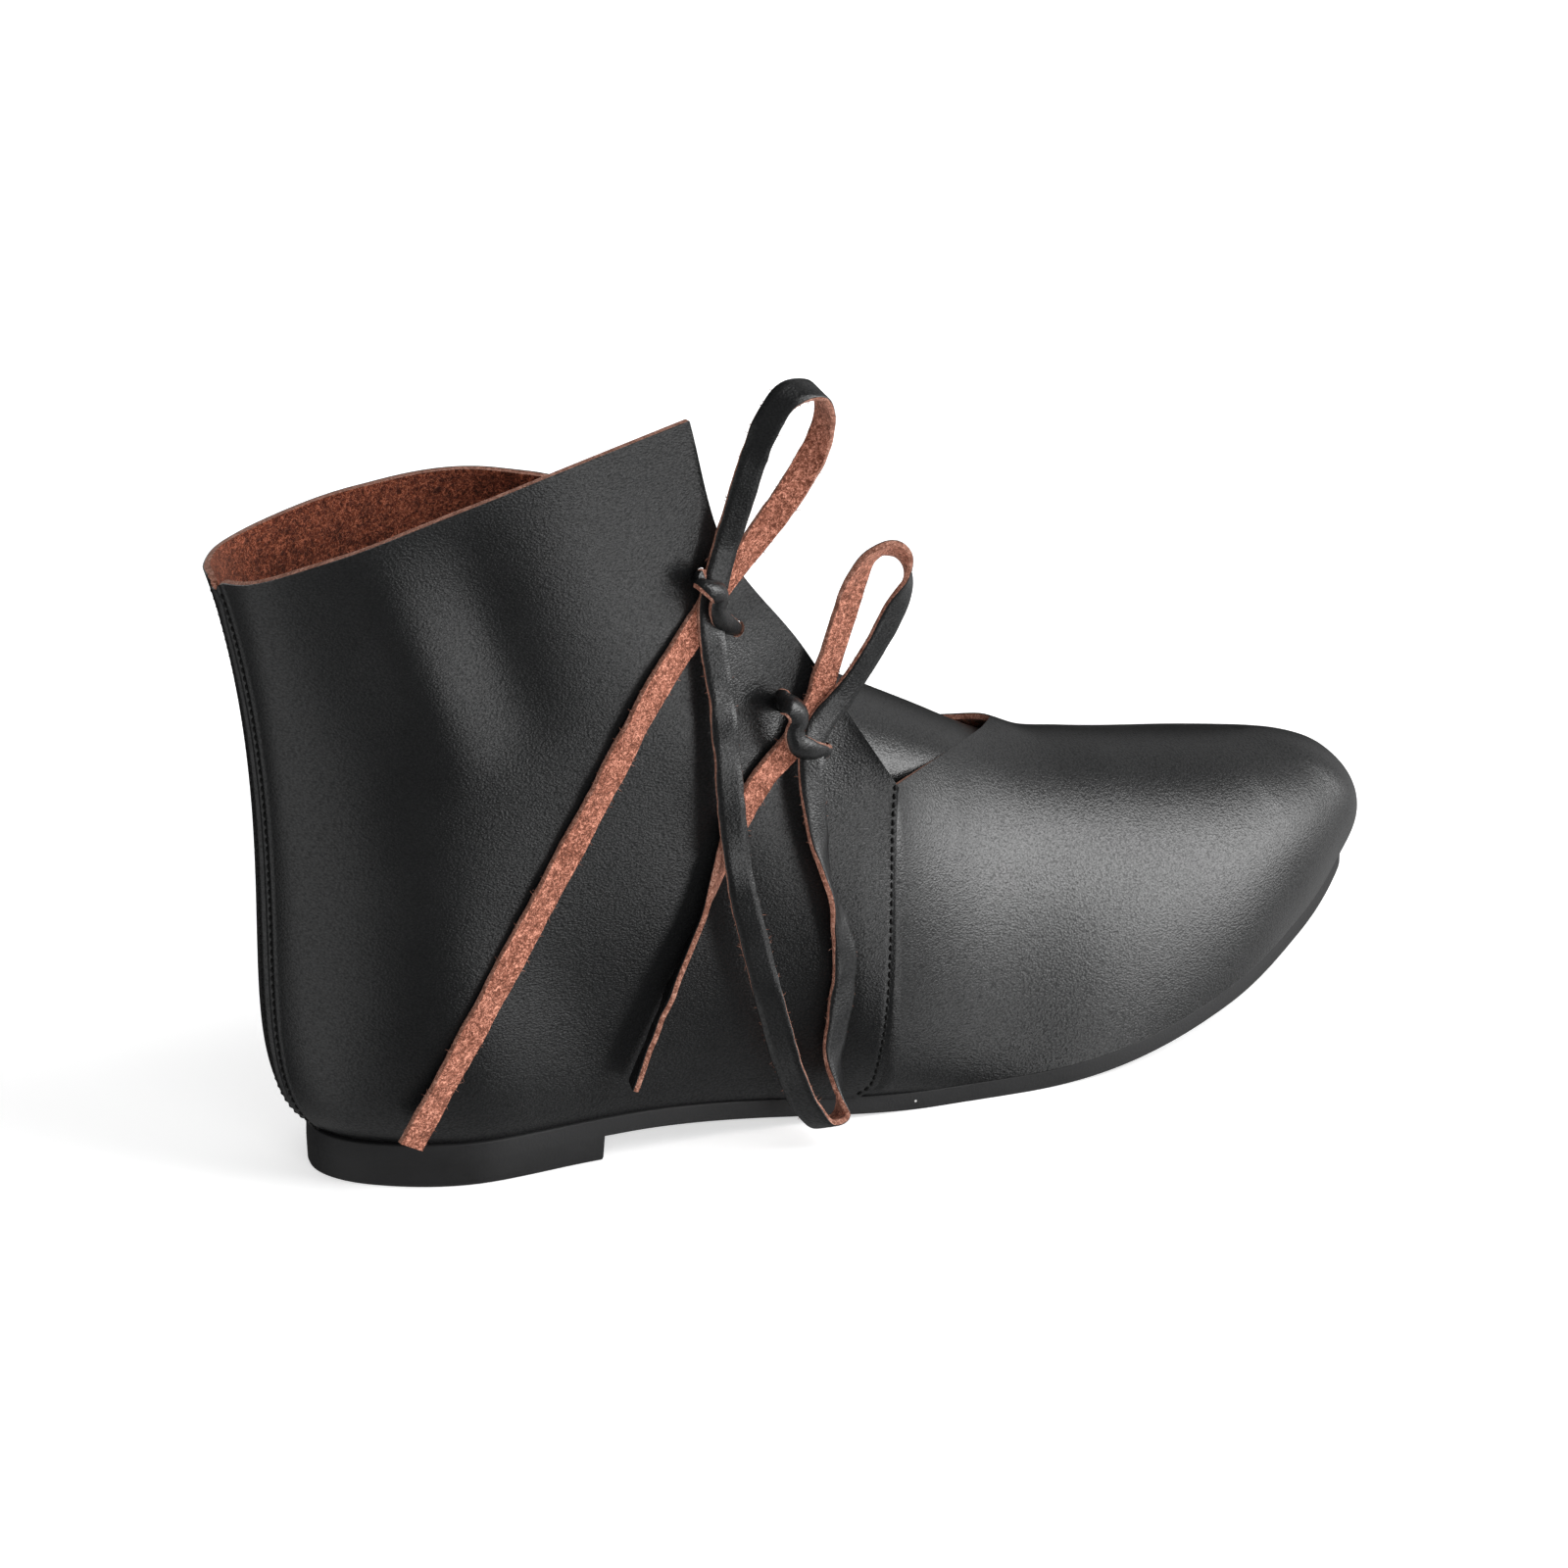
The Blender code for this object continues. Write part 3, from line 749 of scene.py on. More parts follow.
def quarter_columns():
    """Columns of a quarter, closer together at its seams."""
    near_seam = THROAT - 0.012
    return np.concatenate(
        [
            np.linspace(0.0, 0.03, 22)[:-1],
            np.linspace(0.03, FLAP, 100)[:-1],
            np.linspace(FLAP, near_seam, 30)[:-1],
            np.linspace(near_seam, THROAT, 14),
        ]
    )


def quarter_heights():
    """Heights of a quarter, closer together at the sole and the rim."""
    return np.concatenate(
        [np.linspace(0.0, 0.04, 7)[:-1], np.linspace(0.04, 0.975, 112)[:-1], np.linspace(0.975, 1.0, 6)]
    )


def seam_sweep(v):
    """How far the foot of the side seam swings back along the sole."""
    return SEAM_FOOT * bump(v, 0.0, SEAM_FOOT_HIGH)


def segment_distance(points, start, end):
    """Distance of points from a segment, and the place along it from 0 to 1."""
    run = end - start
    place = np.clip(((points - start) @ run) / (run @ run), 0.0, 1.0)
    return np.linalg.norm(points - start - place[..., None] * run, axis=-1), place


def creases(points, side):
    """Soft ridges and troughs of worn leather."""
    total = np.zeros(points.shape[:-1])
    for t0, v0, t1, v1, wide, rise in CREASES[side]:
        start, end = form(np.array([t0, t1]), np.array([v0, v1]), side)
        away, place = segment_distance(points, start, end)
        swell = CREASE_ENDS + (1 - CREASE_ENDS) * np.sin(np.pi * place)
        total += rise * bump(away, 0.0, wide) * swell
    return total


def dimples(points, side):
    """Leather pulled in around the lace holes."""
    total = np.zeros(points.shape[:-1])
    places = np.array(UPPER_HOLES + LOWER_HOLES)
    for middle, (deep, wide) in zip(form(places[:, 0], places[:, 1], side), DIMPLE_ROWS):
        away = points - middle
        ahead = np.clip(away @ LACED_WAY, 0.0, None)
        away = away - DIMPLE_LONG * ahead[..., None] * LACED_WAY
        total -= deep * bump(np.linalg.norm(away, axis=-1), 0.0, wide)
    return total


def drawn_in(points, side):
    """Points moved inward and down where the laced edge is drawn in round the instep."""
    way = unit(np.array(DRAW_WAY) * (1.0, -side, 1.0))
    edge = top_edge(np.linspace(FLAP, THROAT, 160), side)
    flat_edge = edge - (edge @ way)[:, None] * way
    flat = points - (points @ way)[..., None] * way
    gaps = flat[..., None, :] - flat_edge
    away = np.linalg.norm(gaps, axis=-1)
    nearest = np.argmin(away, axis=-1)
    gap = np.take_along_axis(gaps, nearest[..., None, None], axis=-2)[..., 0, :]
    reach = DRAW_WIDE - np.where(gap @ LACED_WAY > 0, 0.0, away.min(axis=-1))
    depth = DRAW_SLOPE * (np.hypot(reach, DRAW_ROUND) + reach) / 2
    run = flat_edge[-1] - flat_edge[0]
    along = (flat - flat_edge[0]) @ run / (run @ run)
    return points + (depth * (1 - ease(along, *DRAW_FADE)))[..., None] * way


def back_seam(away):
    """Profile across the back seam: groove, raised allowance and pressed stitch rows."""
    band = ALLOWANCE * (1 - ease(away, *ALLOWANCE_EDGE))
    groove = GROOVE * bump(away, 0.0, GROOVE_WIDE)
    return band - groove - BACK_PRESS * bump(away, BACK_STITCH, BACK_PRESS_WIDE)


def quarter_grid(side):
    """Outer face of a quarter, its normals and its distances from the back and side seams."""
    columns = quarter_columns()
    column, v = np.meshgrid(columns, quarter_heights(), indexing="ij")
    t = np.clip(column - seam_sweep(v) * ease(column, THROAT - SEAM_FOOT_LONG, THROAT), 0, 1)
    points = form(t, v, side)
    hold = ease(v, *RIM_HOLD)
    hold[0], hold[-1], hold[:, 0] = 1, 1, 1
    points = smoothed(points, hold, SMOOTH_ROUNDS)
    outward = grid_outward(points, side)
    away_back = run_length(points)
    away_front = away_back[-1] - away_back
    rise = lap(column) + back_seam(away_back) + creases(points, side) * ease(v, *CREASE_FOOT)
    rise -= PINCH * bump(away_back, 0.0, PINCH_WIDE) * ease(v, *PINCH_HIGH)
    rise += dimples(points, side)
    rise -= SIDE_PRESS * bump(away_front, STITCH_INSET, SIDE_PRESS_WIDE)
    shift = outward * rise[..., None]
    shift[..., 2] *= ease(v, *OFF_SOLE)
    tuck = feather(columns, side)[1] * ROLL_IN
    tuck *= 1 - ease(columns, *ROLL_FADE)[:, None]
    shift -= (1 - ease(v, *ROLL_HIGH))[..., None] * tuck[:, None, :]
    points = points + shift
    points[..., 2] -= NOTCH * bump(away_back, 0.0, NOTCH_WIDE) * ease(v, *NOTCH_HIGH)
    points = drawn_in(points, side)
    return points, grid_outward(points, side), away_back, away_front


def hole_cutter(side):
    """Round cutters through a quarter at its lace holes, as one mesh."""
    vertices, faces = [], []
    turns = 2 * math.pi * np.arange(HOLE_SIDES) / HOLE_SIDES
    for t, v in UPPER_HOLES + LOWER_HOLES:
        along, rise = tangents(t, v, side)
        outward = unit(np.cross(along, rise))
        first = unit(along)
        ring = np.outer(np.cos(turns), first) + np.outer(np.sin(turns), np.cross(outward, first))
        middle = drawn_in(form(t, v, side), side)
        levels = len(HOLE_REACH)
        faces += ring_faces(len(vertices), levels, HOLE_SIDES) + ring_caps(len(vertices), levels, HOLE_SIDES)
        for depth in HOLE_REACH:
            vertices += list(middle + outward * depth + ring * HOLE_DIAMETER / 2)
    return vertices, faces


def cut_holes(thing, side, materials):
    """Cut the lace holes out of a quarter."""
    vertices, faces = hole_cutter(side)
    cutter = mesh_object("holes", vertices, faces, [2] * len(faces), materials)
    cut = thing.modifiers.new("holes", "BOOLEAN")
    cut.operation = "DIFFERENCE"
    cut.solver = "EXACT"
    cut.object = cutter
    apply_modifiers(thing)
    bpy.data.objects.remove(cutter)


def apply_modifiers(thing):
    """Replace a mesh by what its modifiers make of it."""
    graph = bpy.context.evaluated_depsgraph_get()
    made = bpy.data.meshes.new_from_object(thing.evaluated_get(graph))
    thing.modifiers.clear()
    thing.data = made


def quarter(side, materials):
    """One quarter with its lace holes; returns its grid."""
    name = "quarter_outer" if side == OUTER else "quarter_inner"
    grid = quarter_grid(side)
    points = grid[0]
    faces = grid_faces(*points.shape[:2], side == OUTER)
    thing = leather_sheet(name, points.reshape(-1, 3), faces, WALL, materials)
    cut_holes(thing, side, materials)
    sharp_by_angle(thing.data, FOLD_ANGLE)
    finish_piece(thing, ("upper",))
    return grid


def vamp_form(t, v, side):
    """Smooth outer face of the vamp, carried on up the instep behind its cut edge."""
    columns = t.ravel()
    low, outward = feather(columns, side)
    ridge = np.array(INSTEP_ROWS)
    high = curve(columns, INSTEP_ROWS)
    belly = curve(columns, VAMP_BELLY[side])
    fall = np.gradient(ridge[:, 3], ridge[:, 0]) / np.gradient(ridge[:, 1], ridge[:, 0])
    back = (low - high)[:, 0] / 3 + outward[:, 0] * belly[:, 2]
    belly[:, 3] = (high - low)[:, 2] / 3 + back * np.interp(columns, ridge[:, 0], fall)
    return column_curve(low, outward, high, belly, v.ravel()).reshape(t.shape + (3,))


def seam_line(side):
    """Side seam from the sole to the throat."""
    v = np.linspace(0.0, 1.0, 60)
    return form(THROAT - seam_sweep(v), v, side)


def vamp_grid(side):
    """Outer face of one half of the vamp before its edges are cut, sunk behind the quarter."""
    columns = np.concatenate([np.linspace(VAMP_START, PEAK, 64)[:-1], np.linspace(PEAK, 1.0, 110)])
    heights = np.concatenate([np.linspace(0.0, 0.04, 6)[:-1], np.linspace(0.04, 1.0, 92)])
    t, v = np.meshgrid(columns, heights, indexing="ij")
    points = vamp_form(t, v, side)
    seam = seam_line(side)
    behind = np.interp(points[..., 2], seam[:, 2], seam[:, 0]) - points[..., 0]
    sink = sum(deep * ease(behind, start, end) for deep, start, end in VAMP_SINKS)
    shift = -grid_outward(points, side) * sink[..., None]
    shift[..., 2] *= ease(v, *OFF_SOLE)
    return points + shift


def vamp_cuts(side):
    """Planes that trim half a vamp, as (point, normal towards the kept part)."""
    edge = PEAK_POINT - form(THROAT, 1.0, side)
    level = unit(np.array([-side * edge[1], side * edge[0], 0.0]))
    down = unit(np.cross(edge, level))
    down = down if down[2] < 0 else -down
    tilted = level * math.cos(CUT_TILT[side]) + down * math.sin(CUT_TILT[side])
    return ((PEAK_POINT, tilted), BACK_CUT)


def trimmed(vertices, faces, cuts):
    """Points and polygons with what lies behind any of the planes cut away."""
    sheet = editable(vertices, faces)
    for place, normal in cuts:
        everything = sheet.verts[:] + sheet.edges[:] + sheet.faces[:]
        bmesh.ops.bisect_plane(
            sheet, geom=everything, dist=0.01, plane_co=place, plane_no=normal, clear_inner=True
        )
    points, _, polygons = arrays(sheet)
    return points, polygons


def vamp(materials):
    """Vamp: both halves joined over the instep and at the toe."""
    vertices, faces = [], []
    for side in (OUTER, INNER):
        grid = vamp_grid(side)
        quads = grid_faces(*grid.shape[:2], side == OUTER)
        points, polygons = trimmed(grid.reshape(-1, 3), quads, vamp_cuts(side))
        away = np.linalg.norm(points - PEAK_POINT, axis=-1)
        points[:, 2] += TIP_LIFT * bump(away, 0.0, TIP_WIDE)
        faces += [tuple(i + len(vertices) for i in polygon) for polygon in polygons]
        vertices += list(points)
    thing = leather_sheet("vamp", vertices, faces, VAMP_THICK, materials)
    return finish_piece(thing, ("upper",))


def tongue(materials):
    """Wide arched tongue inside the quarters."""
    stations = curve(np.linspace(0.0, 1.0, 110), TONGUE_ROWS)
    arc = np.linspace(-1.0, 1.0, 90) * math.pi / 2
    points = np.zeros((len(stations), len(arc), 3))
    for i, (x, y, z, outer_half, inner_half, deep, tilt) in enumerate(stations):
        lean = math.radians(tilt)
        inward = np.array([-math.cos(lean), 0.0, -math.sin(lean)])
        half = np.where(arc < 0, outer_half, inner_half)
        across = np.stack([np.zeros_like(arc), half * np.sin(arc), np.zeros_like(arc)], -1)
        points[i] = np.array([x, y, z]) + across + inward * (deep * (1 - np.cos(arc)))[:, None]
    faces = grid_faces(*points.shape[:2], False)
    thing = leather_sheet("tongue_sheet", points.reshape(-1, 3), faces, TONGUE_THICK, materials)
    return finish_piece(thing, ("tongue",))


def outline(columns):
    """Closed loop of columns round the sole, as (t, side) pairs."""
    return [(t, OUTER) for t in columns] + [(t, INNER) for t in columns[-2:0:-1]]


def loop_plan(loop):
    """Places on the sole's edge of (t, side) pairs, and their outward normals."""
    flat = np.array([plan(np.array([t]), side)[0] for t, side in loop])
    return flat, np.array([plan_outward(np.array([t]), side)[0] for t, side in loop])


def sole_object(name, vertices, faces, material, angle):
    """Closed piece of the sole with its faces turned outward."""
    thing = mesh_object(name, vertices, faces, [0] * len(faces), [material])
    solid = bmesh.new()
    solid.from_mesh(thing.data)
    bmesh.ops.recalc_face_normals(solid, faces=solid.faces)
    solid.to_mesh(thing.data)
    solid.free()
    sharp_by_angle(thing.data, angle)
    return thing


def slab(name, sections, profile, inset, lifts, material):
    """Slab on the sole's outline between two lifts over the underside; profile shapes its edge."""
    columns = np.linspace(0.0, 1.0, sections)
    loop = outline(columns)
    count = len(loop)
    flat, outward = loop_plan(loop)
    vertices = []
    for out, up in profile:
        z = underside(flat[:, 0]) + lifts[0] + (lifts[1] - lifts[0]) * up
        vertices += list(np.column_stack([flat + outward * (out - inset), z]))
    faces = ring_faces(0, len(profile), count)
    for start in (0, (len(profile) - 1) * count):
        for k in range(sections - 1):
            quad = (k, k + 1, (count - k - 1) % count, (count - k) % count)
            faces.append(tuple(start + corner for corner in dict.fromkeys(quad)))
    return sole_object(name, vertices, faces, material, SLAB_ANGLE)


def outsole_piece(rubber):
    """Thin outsole with a rounded edge."""
    thing = slab("outsole_edge", OUTSOLE_SECTIONS, SOLE_PROFILE, 0.0, (0.0, SOLE_THICK), rubber)
    return finish_piece(thing, ("outsole",))


def insole_piece(shaded_flesh):
    """Plain insole sheet in the darker copy of the flesh side, painted shade for the inside of the boot."""
    low = SOLE_THICK + INSOLE_GAP
    lifts = (low, low + INSOLE_THICK)
    thing = slab("insole_sheet", INSOLE_SECTIONS, INSOLE_PROFILE, INSOLE_INSET, lifts, shaded_flesh)
    return finish_piece(thing, ("insole",))


def heel_piece(rubber):
    """Low heel block under the outsole with a straight breast."""
    end = math.acos(1 - 2 * HEEL_LONG / LENGTH) / math.pi
    columns = np.concatenate([np.linspace(0.0, end - 0.004, 90), [end - 0.0015, end]])
    loop = outline(columns)
    loop.insert(len(columns), (end, INNER))
    flat, outward = loop_plan(loop)
    vertices = []
    for out, up in HEEL_PROFILE:
        xy = flat + outward * out
        xy[:, 0] = np.minimum(xy[:, 0], HEEL_LONG + out * BREAST_BEVEL)
        vertices += [(x, y, HEEL_HIGH * up) for x, y in xy]
    levels = len(HEEL_PROFILE)
    faces = ring_faces(0, levels, len(loop)) + ring_caps(0, levels, len(loop))
    thing = sole_object("heel_block", vertices, faces, rubber, HEEL_ANGLE)
    return finish_piece(thing, ("heel",))


def wander(count, height, span, seed):
    """Smooth random run of values that spread by height."""
    window = np.hanning(span + 2)[1:-1]
    values = np.random.default_rng(seed).normal(0, 1, count + span - 1)
    return height * np.convolve(values, window / np.linalg.norm(window), "valid")


def strip_frames(path, turn):
    """Run, grain direction and sideways direction along a thong's path."""
    run = unit(np.gradient(path, axis=0))
    outer = np.array([0.0, -1.0, 0.0])
    base = unit(outer - run * (run @ outer)[:, None])
    angle = np.radians(turn)[:, None]
    grain = base * np.cos(angle) + np.cross(run, base) * np.sin(angle)
    return run, grain, np.cross(run, grain)


def strip_mesh(name, path, turn, wide, materials, cup=0.0):
    """Leather thong along a path: grain on one face, flesh on the other, edges bent back by cup."""
    _, grain, aside = strip_frames(path, turn)
    count = len(STRIP_SECTION)
    width = wide + wander(len(path), *RAGGED)
    vertices = []
    for i, spot in enumerate(path):
        for across, up, _ in STRIP_SECTION:
            lift = up * THONG_THICK - cup * (2 * across) ** 2
            vertices.append(spot + aside[i] * across * width[i] + grain[i] * lift)
    faces = ring_faces(0, len(path), count) + ring_caps(0, len(path), count)
    slots = [slot for _, _, slot in STRIP_SECTION] * (len(path) - 1) + [2, 2]
    thing = mesh_object(name, vertices, faces, slots, materials)
    sharp_by_angle(thing.data, STRIP_ANGLE)
    return thing


def resampled(points, step):
    """Rows of a table as a smooth path with even steps, and its length; x, y and z come first."""
    knots = run_length(points[:, :3])
    fine = spline(np.linspace(0, knots[-1], FINE_STEPS), knots, points)
    along = run_length(fine[:, :3])
    places = np.linspace(0.0, along[-1], int(along[-1] / step) + 1)
    return read_at(places, along, fine), along[-1]


def seated(points):
    """Points of the ties set down on the drawn-in outer quarter."""
    return drawn_in(points + SEATED * np.array(DRAW_WAY), OUTER)


def thong(materials):
    """The free thong from tail to tail, through both bights."""
    fine, length = resampled(np.array(THONG_ROWS), THONG_STEP)
    middle = seated(fine[:, :3])
    turn = fine[:, 3] + wander(len(fine), *TWIST)
    thing = strip_mesh("tie_thong", middle, turn, np.full(len(fine), THONG_WIDE), materials)
    fuzz(middle, turn, materials[2])
    finish_piece(thing, THONG_NODES)
    return thing


def fuzz(path, turn, material):
    """Loose fibres along the thong's cut edges."""
    run, grain, aside = strip_frames(path, turn)
    random = np.random.default_rng(FUZZ_SEED)
    turns = 2 * math.pi * np.arange(FUZZ_SIDES) / FUZZ_SIDES
    vertices, faces = [], []
    for i in random.integers(2, len(path) - 2, FUZZ_COUNT):
        way = random.choice((-1.0, 1.0))
        root = path[i] + aside[i] * way * (THONG_WIDE / 2 - FUZZ_ROOT)
        root = root - grain[i] * random.uniform(*FUZZ_DROP)
        along, out = random.normal(0, FUZZ_LEAN)
        lean = unit(aside[i] * way + run[i] * along + grain[i] * out)
        sag = unit(np.cross(lean, random.normal(0, 1, 3)))
        long = random.uniform(*FUZZ_LONG)
        ring = np.outer(np.cos(turns), sag) + np.outer(np.sin(turns), np.cross(lean, sag))
        faces += ring_faces(len(vertices), len(FUZZ_PLACES), FUZZ_SIDES)
        for place in FUZZ_PLACES:
            middle = root + lean * long * place + sag * long * FUZZ_SAG * place**2
            fat = FUZZ_RADIUS * np.interp(place, (0.0, 1.0), FUZZ_FAT)
            vertices += list(middle + ring * fat)
    thing = mesh_object("thong_fibres", vertices, faces, [0] * len(faces), [material])
    return finish_piece(thing)


def band(name, rows, node, materials):
    """Thong bar that comes out of one lace hole and goes into the next."""
    fine, _ = resampled(np.array(rows), BAR_STEP)
    thing = strip_mesh(name, seated(fine[:, :3]), fine[:, 3], fine[:, 4], materials, BAR_CUP)
    return finish_piece(thing, (node,))


def inner_band(name, holes, node, materials):
    """Thong bar between two lace holes of the inner quarter."""
    s = np.linspace(0.0, 1.0, 15)
    first, second = np.array(holes)
    t, v = (first + (second - first) * s[:, None]).T
    along, rise = tangents(t, v, INNER)
    height = (INNER_BAR_LIFT + INNER_BAR_SUNK) * np.sin(np.pi * s) ** 0.6 - INNER_BAR_SUNK
    middle = form(t, v, INNER) + unit(-np.cross(along, rise)) * height[:, None]
    fine, _ = resampled(middle, BAR_STEP)
    narrow, swell = INNER_BAR_WIDE
    wide = narrow + swell * np.sin(np.pi * np.linspace(0, 1, len(fine)))
    turn = np.full(len(fine), 180.0)
    thing = strip_mesh(name, drawn_in(fine, INNER), turn, wide, materials)
    return finish_piece(thing, (node,))


def stitch_row(line, vertices, faces):
    """Add a row of short threads along a line of points with normals."""
    points, normals = line
    along = run_length(points)
    turns = 2 * math.pi * np.arange(STITCH_SIDES) / STITCH_SIDES
    for middle in np.arange(STITCH_PITCH, along[-1] - STITCH_PITCH / 2, STITCH_PITCH):
        stations = [middle + STITCH_LONG * place for place, _ in STITCH_RINGS]
        spot = read_at(stations, along, points)
        up = unit(read_at(stations, along, normals))
        run = unit(spot[-1] - spot[0])
        levels = len(STITCH_RINGS)
        faces += ring_faces(len(vertices), levels, STITCH_SIDES)
        faces += ring_caps(len(vertices), levels, STITCH_SIDES)
        for (place, fat), centre, normal in zip(STITCH_RINGS, spot, up):
            lift = STITCH_RISE - STITCH_DIP * abs(place) ** 2
            ring = np.outer(np.sin(turns), normal) + np.outer(np.cos(turns), np.cross(run, normal))
            vertices += list(centre + normal * lift + ring * STITCH_RADIUS * fat)


def line_at(points, outward, away, distance):
    """Line on a grid at a distance from one of its edges, with normals."""
    spots, normals = [], []
    for j in range(points.shape[1]):
        order = np.argsort(away[:, j])
        row = away[order, j]
        spots.append(read_at(distance, row, points[order, j]))
        normals.append(read_at(distance, row, outward[order, j]))
    return np.array(spots), unit(np.array(normals))


def stitches(grids, thread):
    """Top-stitching at the back seam and the side seams."""
    vertices, faces = [], []
    for points, outward, away_back, away_front in grids:
        stitch_row(line_at(points, outward, away_back, BACK_STITCH), vertices, faces)
        stitch_row(line_at(points, outward, away_front, STITCH_INSET), vertices, faces)
    thing = mesh_object("stitching", vertices, faces, [0] * len(faces), [thread])
    return finish_piece(thing)


def new_material(name):
    """Material, its node tree, its shader and the object's own coordinates."""
    material = bpy.data.materials.new(name)
    material.use_nodes = True
    tree = material.node_tree
    place = add_node(tree, "ShaderNodeTexCoord").outputs["Object"]
    return material, tree, tree.nodes["Principled BSDF"], place


def feed(tree, value, socket):
    """Give a socket a value or another node's output."""
    if isinstance(value, bpy.types.NodeSocket):
        tree.links.new(value, socket)
    else:
        socket.default_value = value


def set_inputs(tree, node, **inputs):
    """Feed a node's inputs by name, with _ for a space."""
    for key, value in inputs.items():
        feed(tree, value, node.inputs[key.replace("_", " ")])


def add_node(tree, kind, **inputs):
    """New node with its inputs."""
    node = tree.nodes.new(kind)
    set_inputs(tree, node, **inputs)
    return node


def math_node(tree, operation, first, second):
    """Math node of two values."""
    node = tree.nodes.new("ShaderNodeMath")
    node.operation = operation
    feed(tree, first, node.inputs[0])
    feed(tree, second, node.inputs[1])
    return node.outputs[0]


def ramp(tree, value, stops):
    """Colour ramp of a value; stops are (place, colour) pairs."""
    node = add_node(tree, "ShaderNodeValToRGB", Fac=value)
    while len(node.color_ramp.elements) < len(stops):
        node.color_ramp.elements.new(0.5)
    for element, (place, colour) in zip(node.color_ramp.elements, stops):
        element.position = place
        element.color = (*colour, 1.0)
    return node.outputs["Color"]


def map_range(tree, value, low, high, to_low, to_high):
    """Value moved from one range to another."""
    ends = {"From_Min": low, "From_Max": high, "To_Min": to_low, "To_Max": to_high}
    return add_node(tree, "ShaderNodeMapRange", Value=value, **ends).outputs["Result"]


def noise(tree, vector, scale, detail=3.0, rough=0.55, distortion=0.0):
    """Noise texture's value."""
    look = {"Scale": scale, "Detail": detail, "Roughness": rough, "Distortion": distortion}
    return add_node(tree, "ShaderNodeTexNoise", Vector=vector, **look).outputs["Fac"]


def cells(tree, vector, scale, feature):
    """Voronoi texture's distance."""
    node = tree.nodes.new("ShaderNodeTexVoronoi")
    node.feature = feature
    set_inputs(tree, node, Vector=vector, Scale=scale)
    return node.outputs["Distance"]


def blend(tree, *parts):
    """Sum of (value, weight) pairs."""
    total = 0.0
    for value, weight in parts:
        total = math_node(tree, "ADD", math_node(tree, "MULTIPLY", value, weight), total)
    return total


def relief(tree, height, strength, distance):
    """Normal of a bump by height."""
    look = {"Height": height, "Strength": strength, "Distance": distance}
    return add_node(tree, "ShaderNodeBump", **look).outputs["Normal"]


def grain_leather(name):
    """Smooth black leather with a fine pebble grain and a satin finish; its specular level drops in the
    grain's hollows as painted shade.
    """
    material, tree, shader, place = new_material(name)
    stretch = add_node(tree, "ShaderNodeMapping", Vector=place, Scale=(0.9, 0.9, 1.3)).outputs["Vector"]
    pebble = cells(tree, stretch, 1950.0, "SMOOTH_F1")
    wrinkle = noise(tree, stretch, 1700.0, 3.0, 0.55, 0.8)
    pores = noise(tree, place, 3200.0, 2.0)
    cloud = noise(tree, place, 26.0, 4.0, 0.6)
    height = blend(tree, (pebble, -0.9), (wrinkle, 0.8), (pores, 0.25))
    set_inputs(
        tree,
        shader,
        Normal=relief(tree, height, 0.26, 0.0003),
        Base_Color=ramp(tree, cloud, ((0.3, (0.0055, 0.0057, 0.0059)), (0.7, (0.0085, 0.0087, 0.009)))),
        Roughness=map_range(tree, cloud, 0.3, 0.7, 0.27, 0.34),
        # Specular level follows the grain's height: lower in its hollows, as painted shade.
        Specular_IOR_Level=map_range(tree, height, -0.15, 0.45, 0.3, 0.7),
    )
    return material


def suede_leather(name, tones, bump_depth):
    """Rust-brown flesh side with a coarse fibrous nap; tones run from dark to light."""
    material, tree, shader, place = new_material(name)
    fibre = noise(tree, place, 1000.0, 4.0, 0.7, 1.2)
    contour = math_node(tree, "SUBTRACT", noise(tree, place, 800.0, 1.5, 0.5, 1.4), 0.5)
    strand = map_range(tree, math_node(tree, "ABSOLUTE", contour, 0.0), 0.0, 0.06, 1.0, 0.0)
    clump = noise(tree, place, 200.0, 3.0, 0.55)
    mix = blend(tree, (fibre, 0.6), (strand, 0.12), (clump, 0.12))
    dark, middle, light = tones
    set_inputs(
        tree,
        shader,
        Normal=relief(tree, mix, 0.9, bump_depth),
        Base_Color=ramp(tree, mix, ((0.32, dark), (0.41, middle), (0.52, light))),
        Roughness=0.95,
        Specular_IOR_Level=0.15,
        Sheen_Weight=0.25,
        Sheen_Roughness=0.5,
        Sheen_Tint=(0.9, 0.6, 0.48, 1.0),
    )
    return material


def sole_rubber():
    """Matt black rubber with faint scuffs and specks of dust."""
    material, tree, shader, place = new_material("sole_rubber_look")
    grit = noise(tree, place, 1400.0, 4.0, 0.6)
    cloud = noise(tree, place, 60.0, 4.0, 0.6)
    small = math_node(tree, "LESS_THAN", cells(tree, place, 190.0, "F1"), 0.06)
    rare = math_node(tree, "GREATER_THAN", noise(tree, place, 75.0, 2.0), 0.585)
    base = ramp(tree, cloud, ((0.35, (0.008, 0.008, 0.0085)), (0.75, (0.014, 0.014, 0.0145))))
    mix = tree.nodes.new("ShaderNodeMix")
    mix.data_type = "RGBA"
    feed(tree, math_node(tree, "MULTIPLY", small, rare), mix.inputs["Factor"])
    feed(tree, base, mix.inputs[6])
    feed(tree, (0.45, 0.45, 0.44, 1.0), mix.inputs[7])
    set_inputs(
        tree,
        shader,
        Normal=relief(tree, grit, 0.25, 0.0003),
        Base_Color=mix.outputs[2],
        Roughness=map_range(tree, cloud, 0.3, 0.7, 0.55, 0.68),
        Specular_IOR_Level=0.4,
    )
    return material


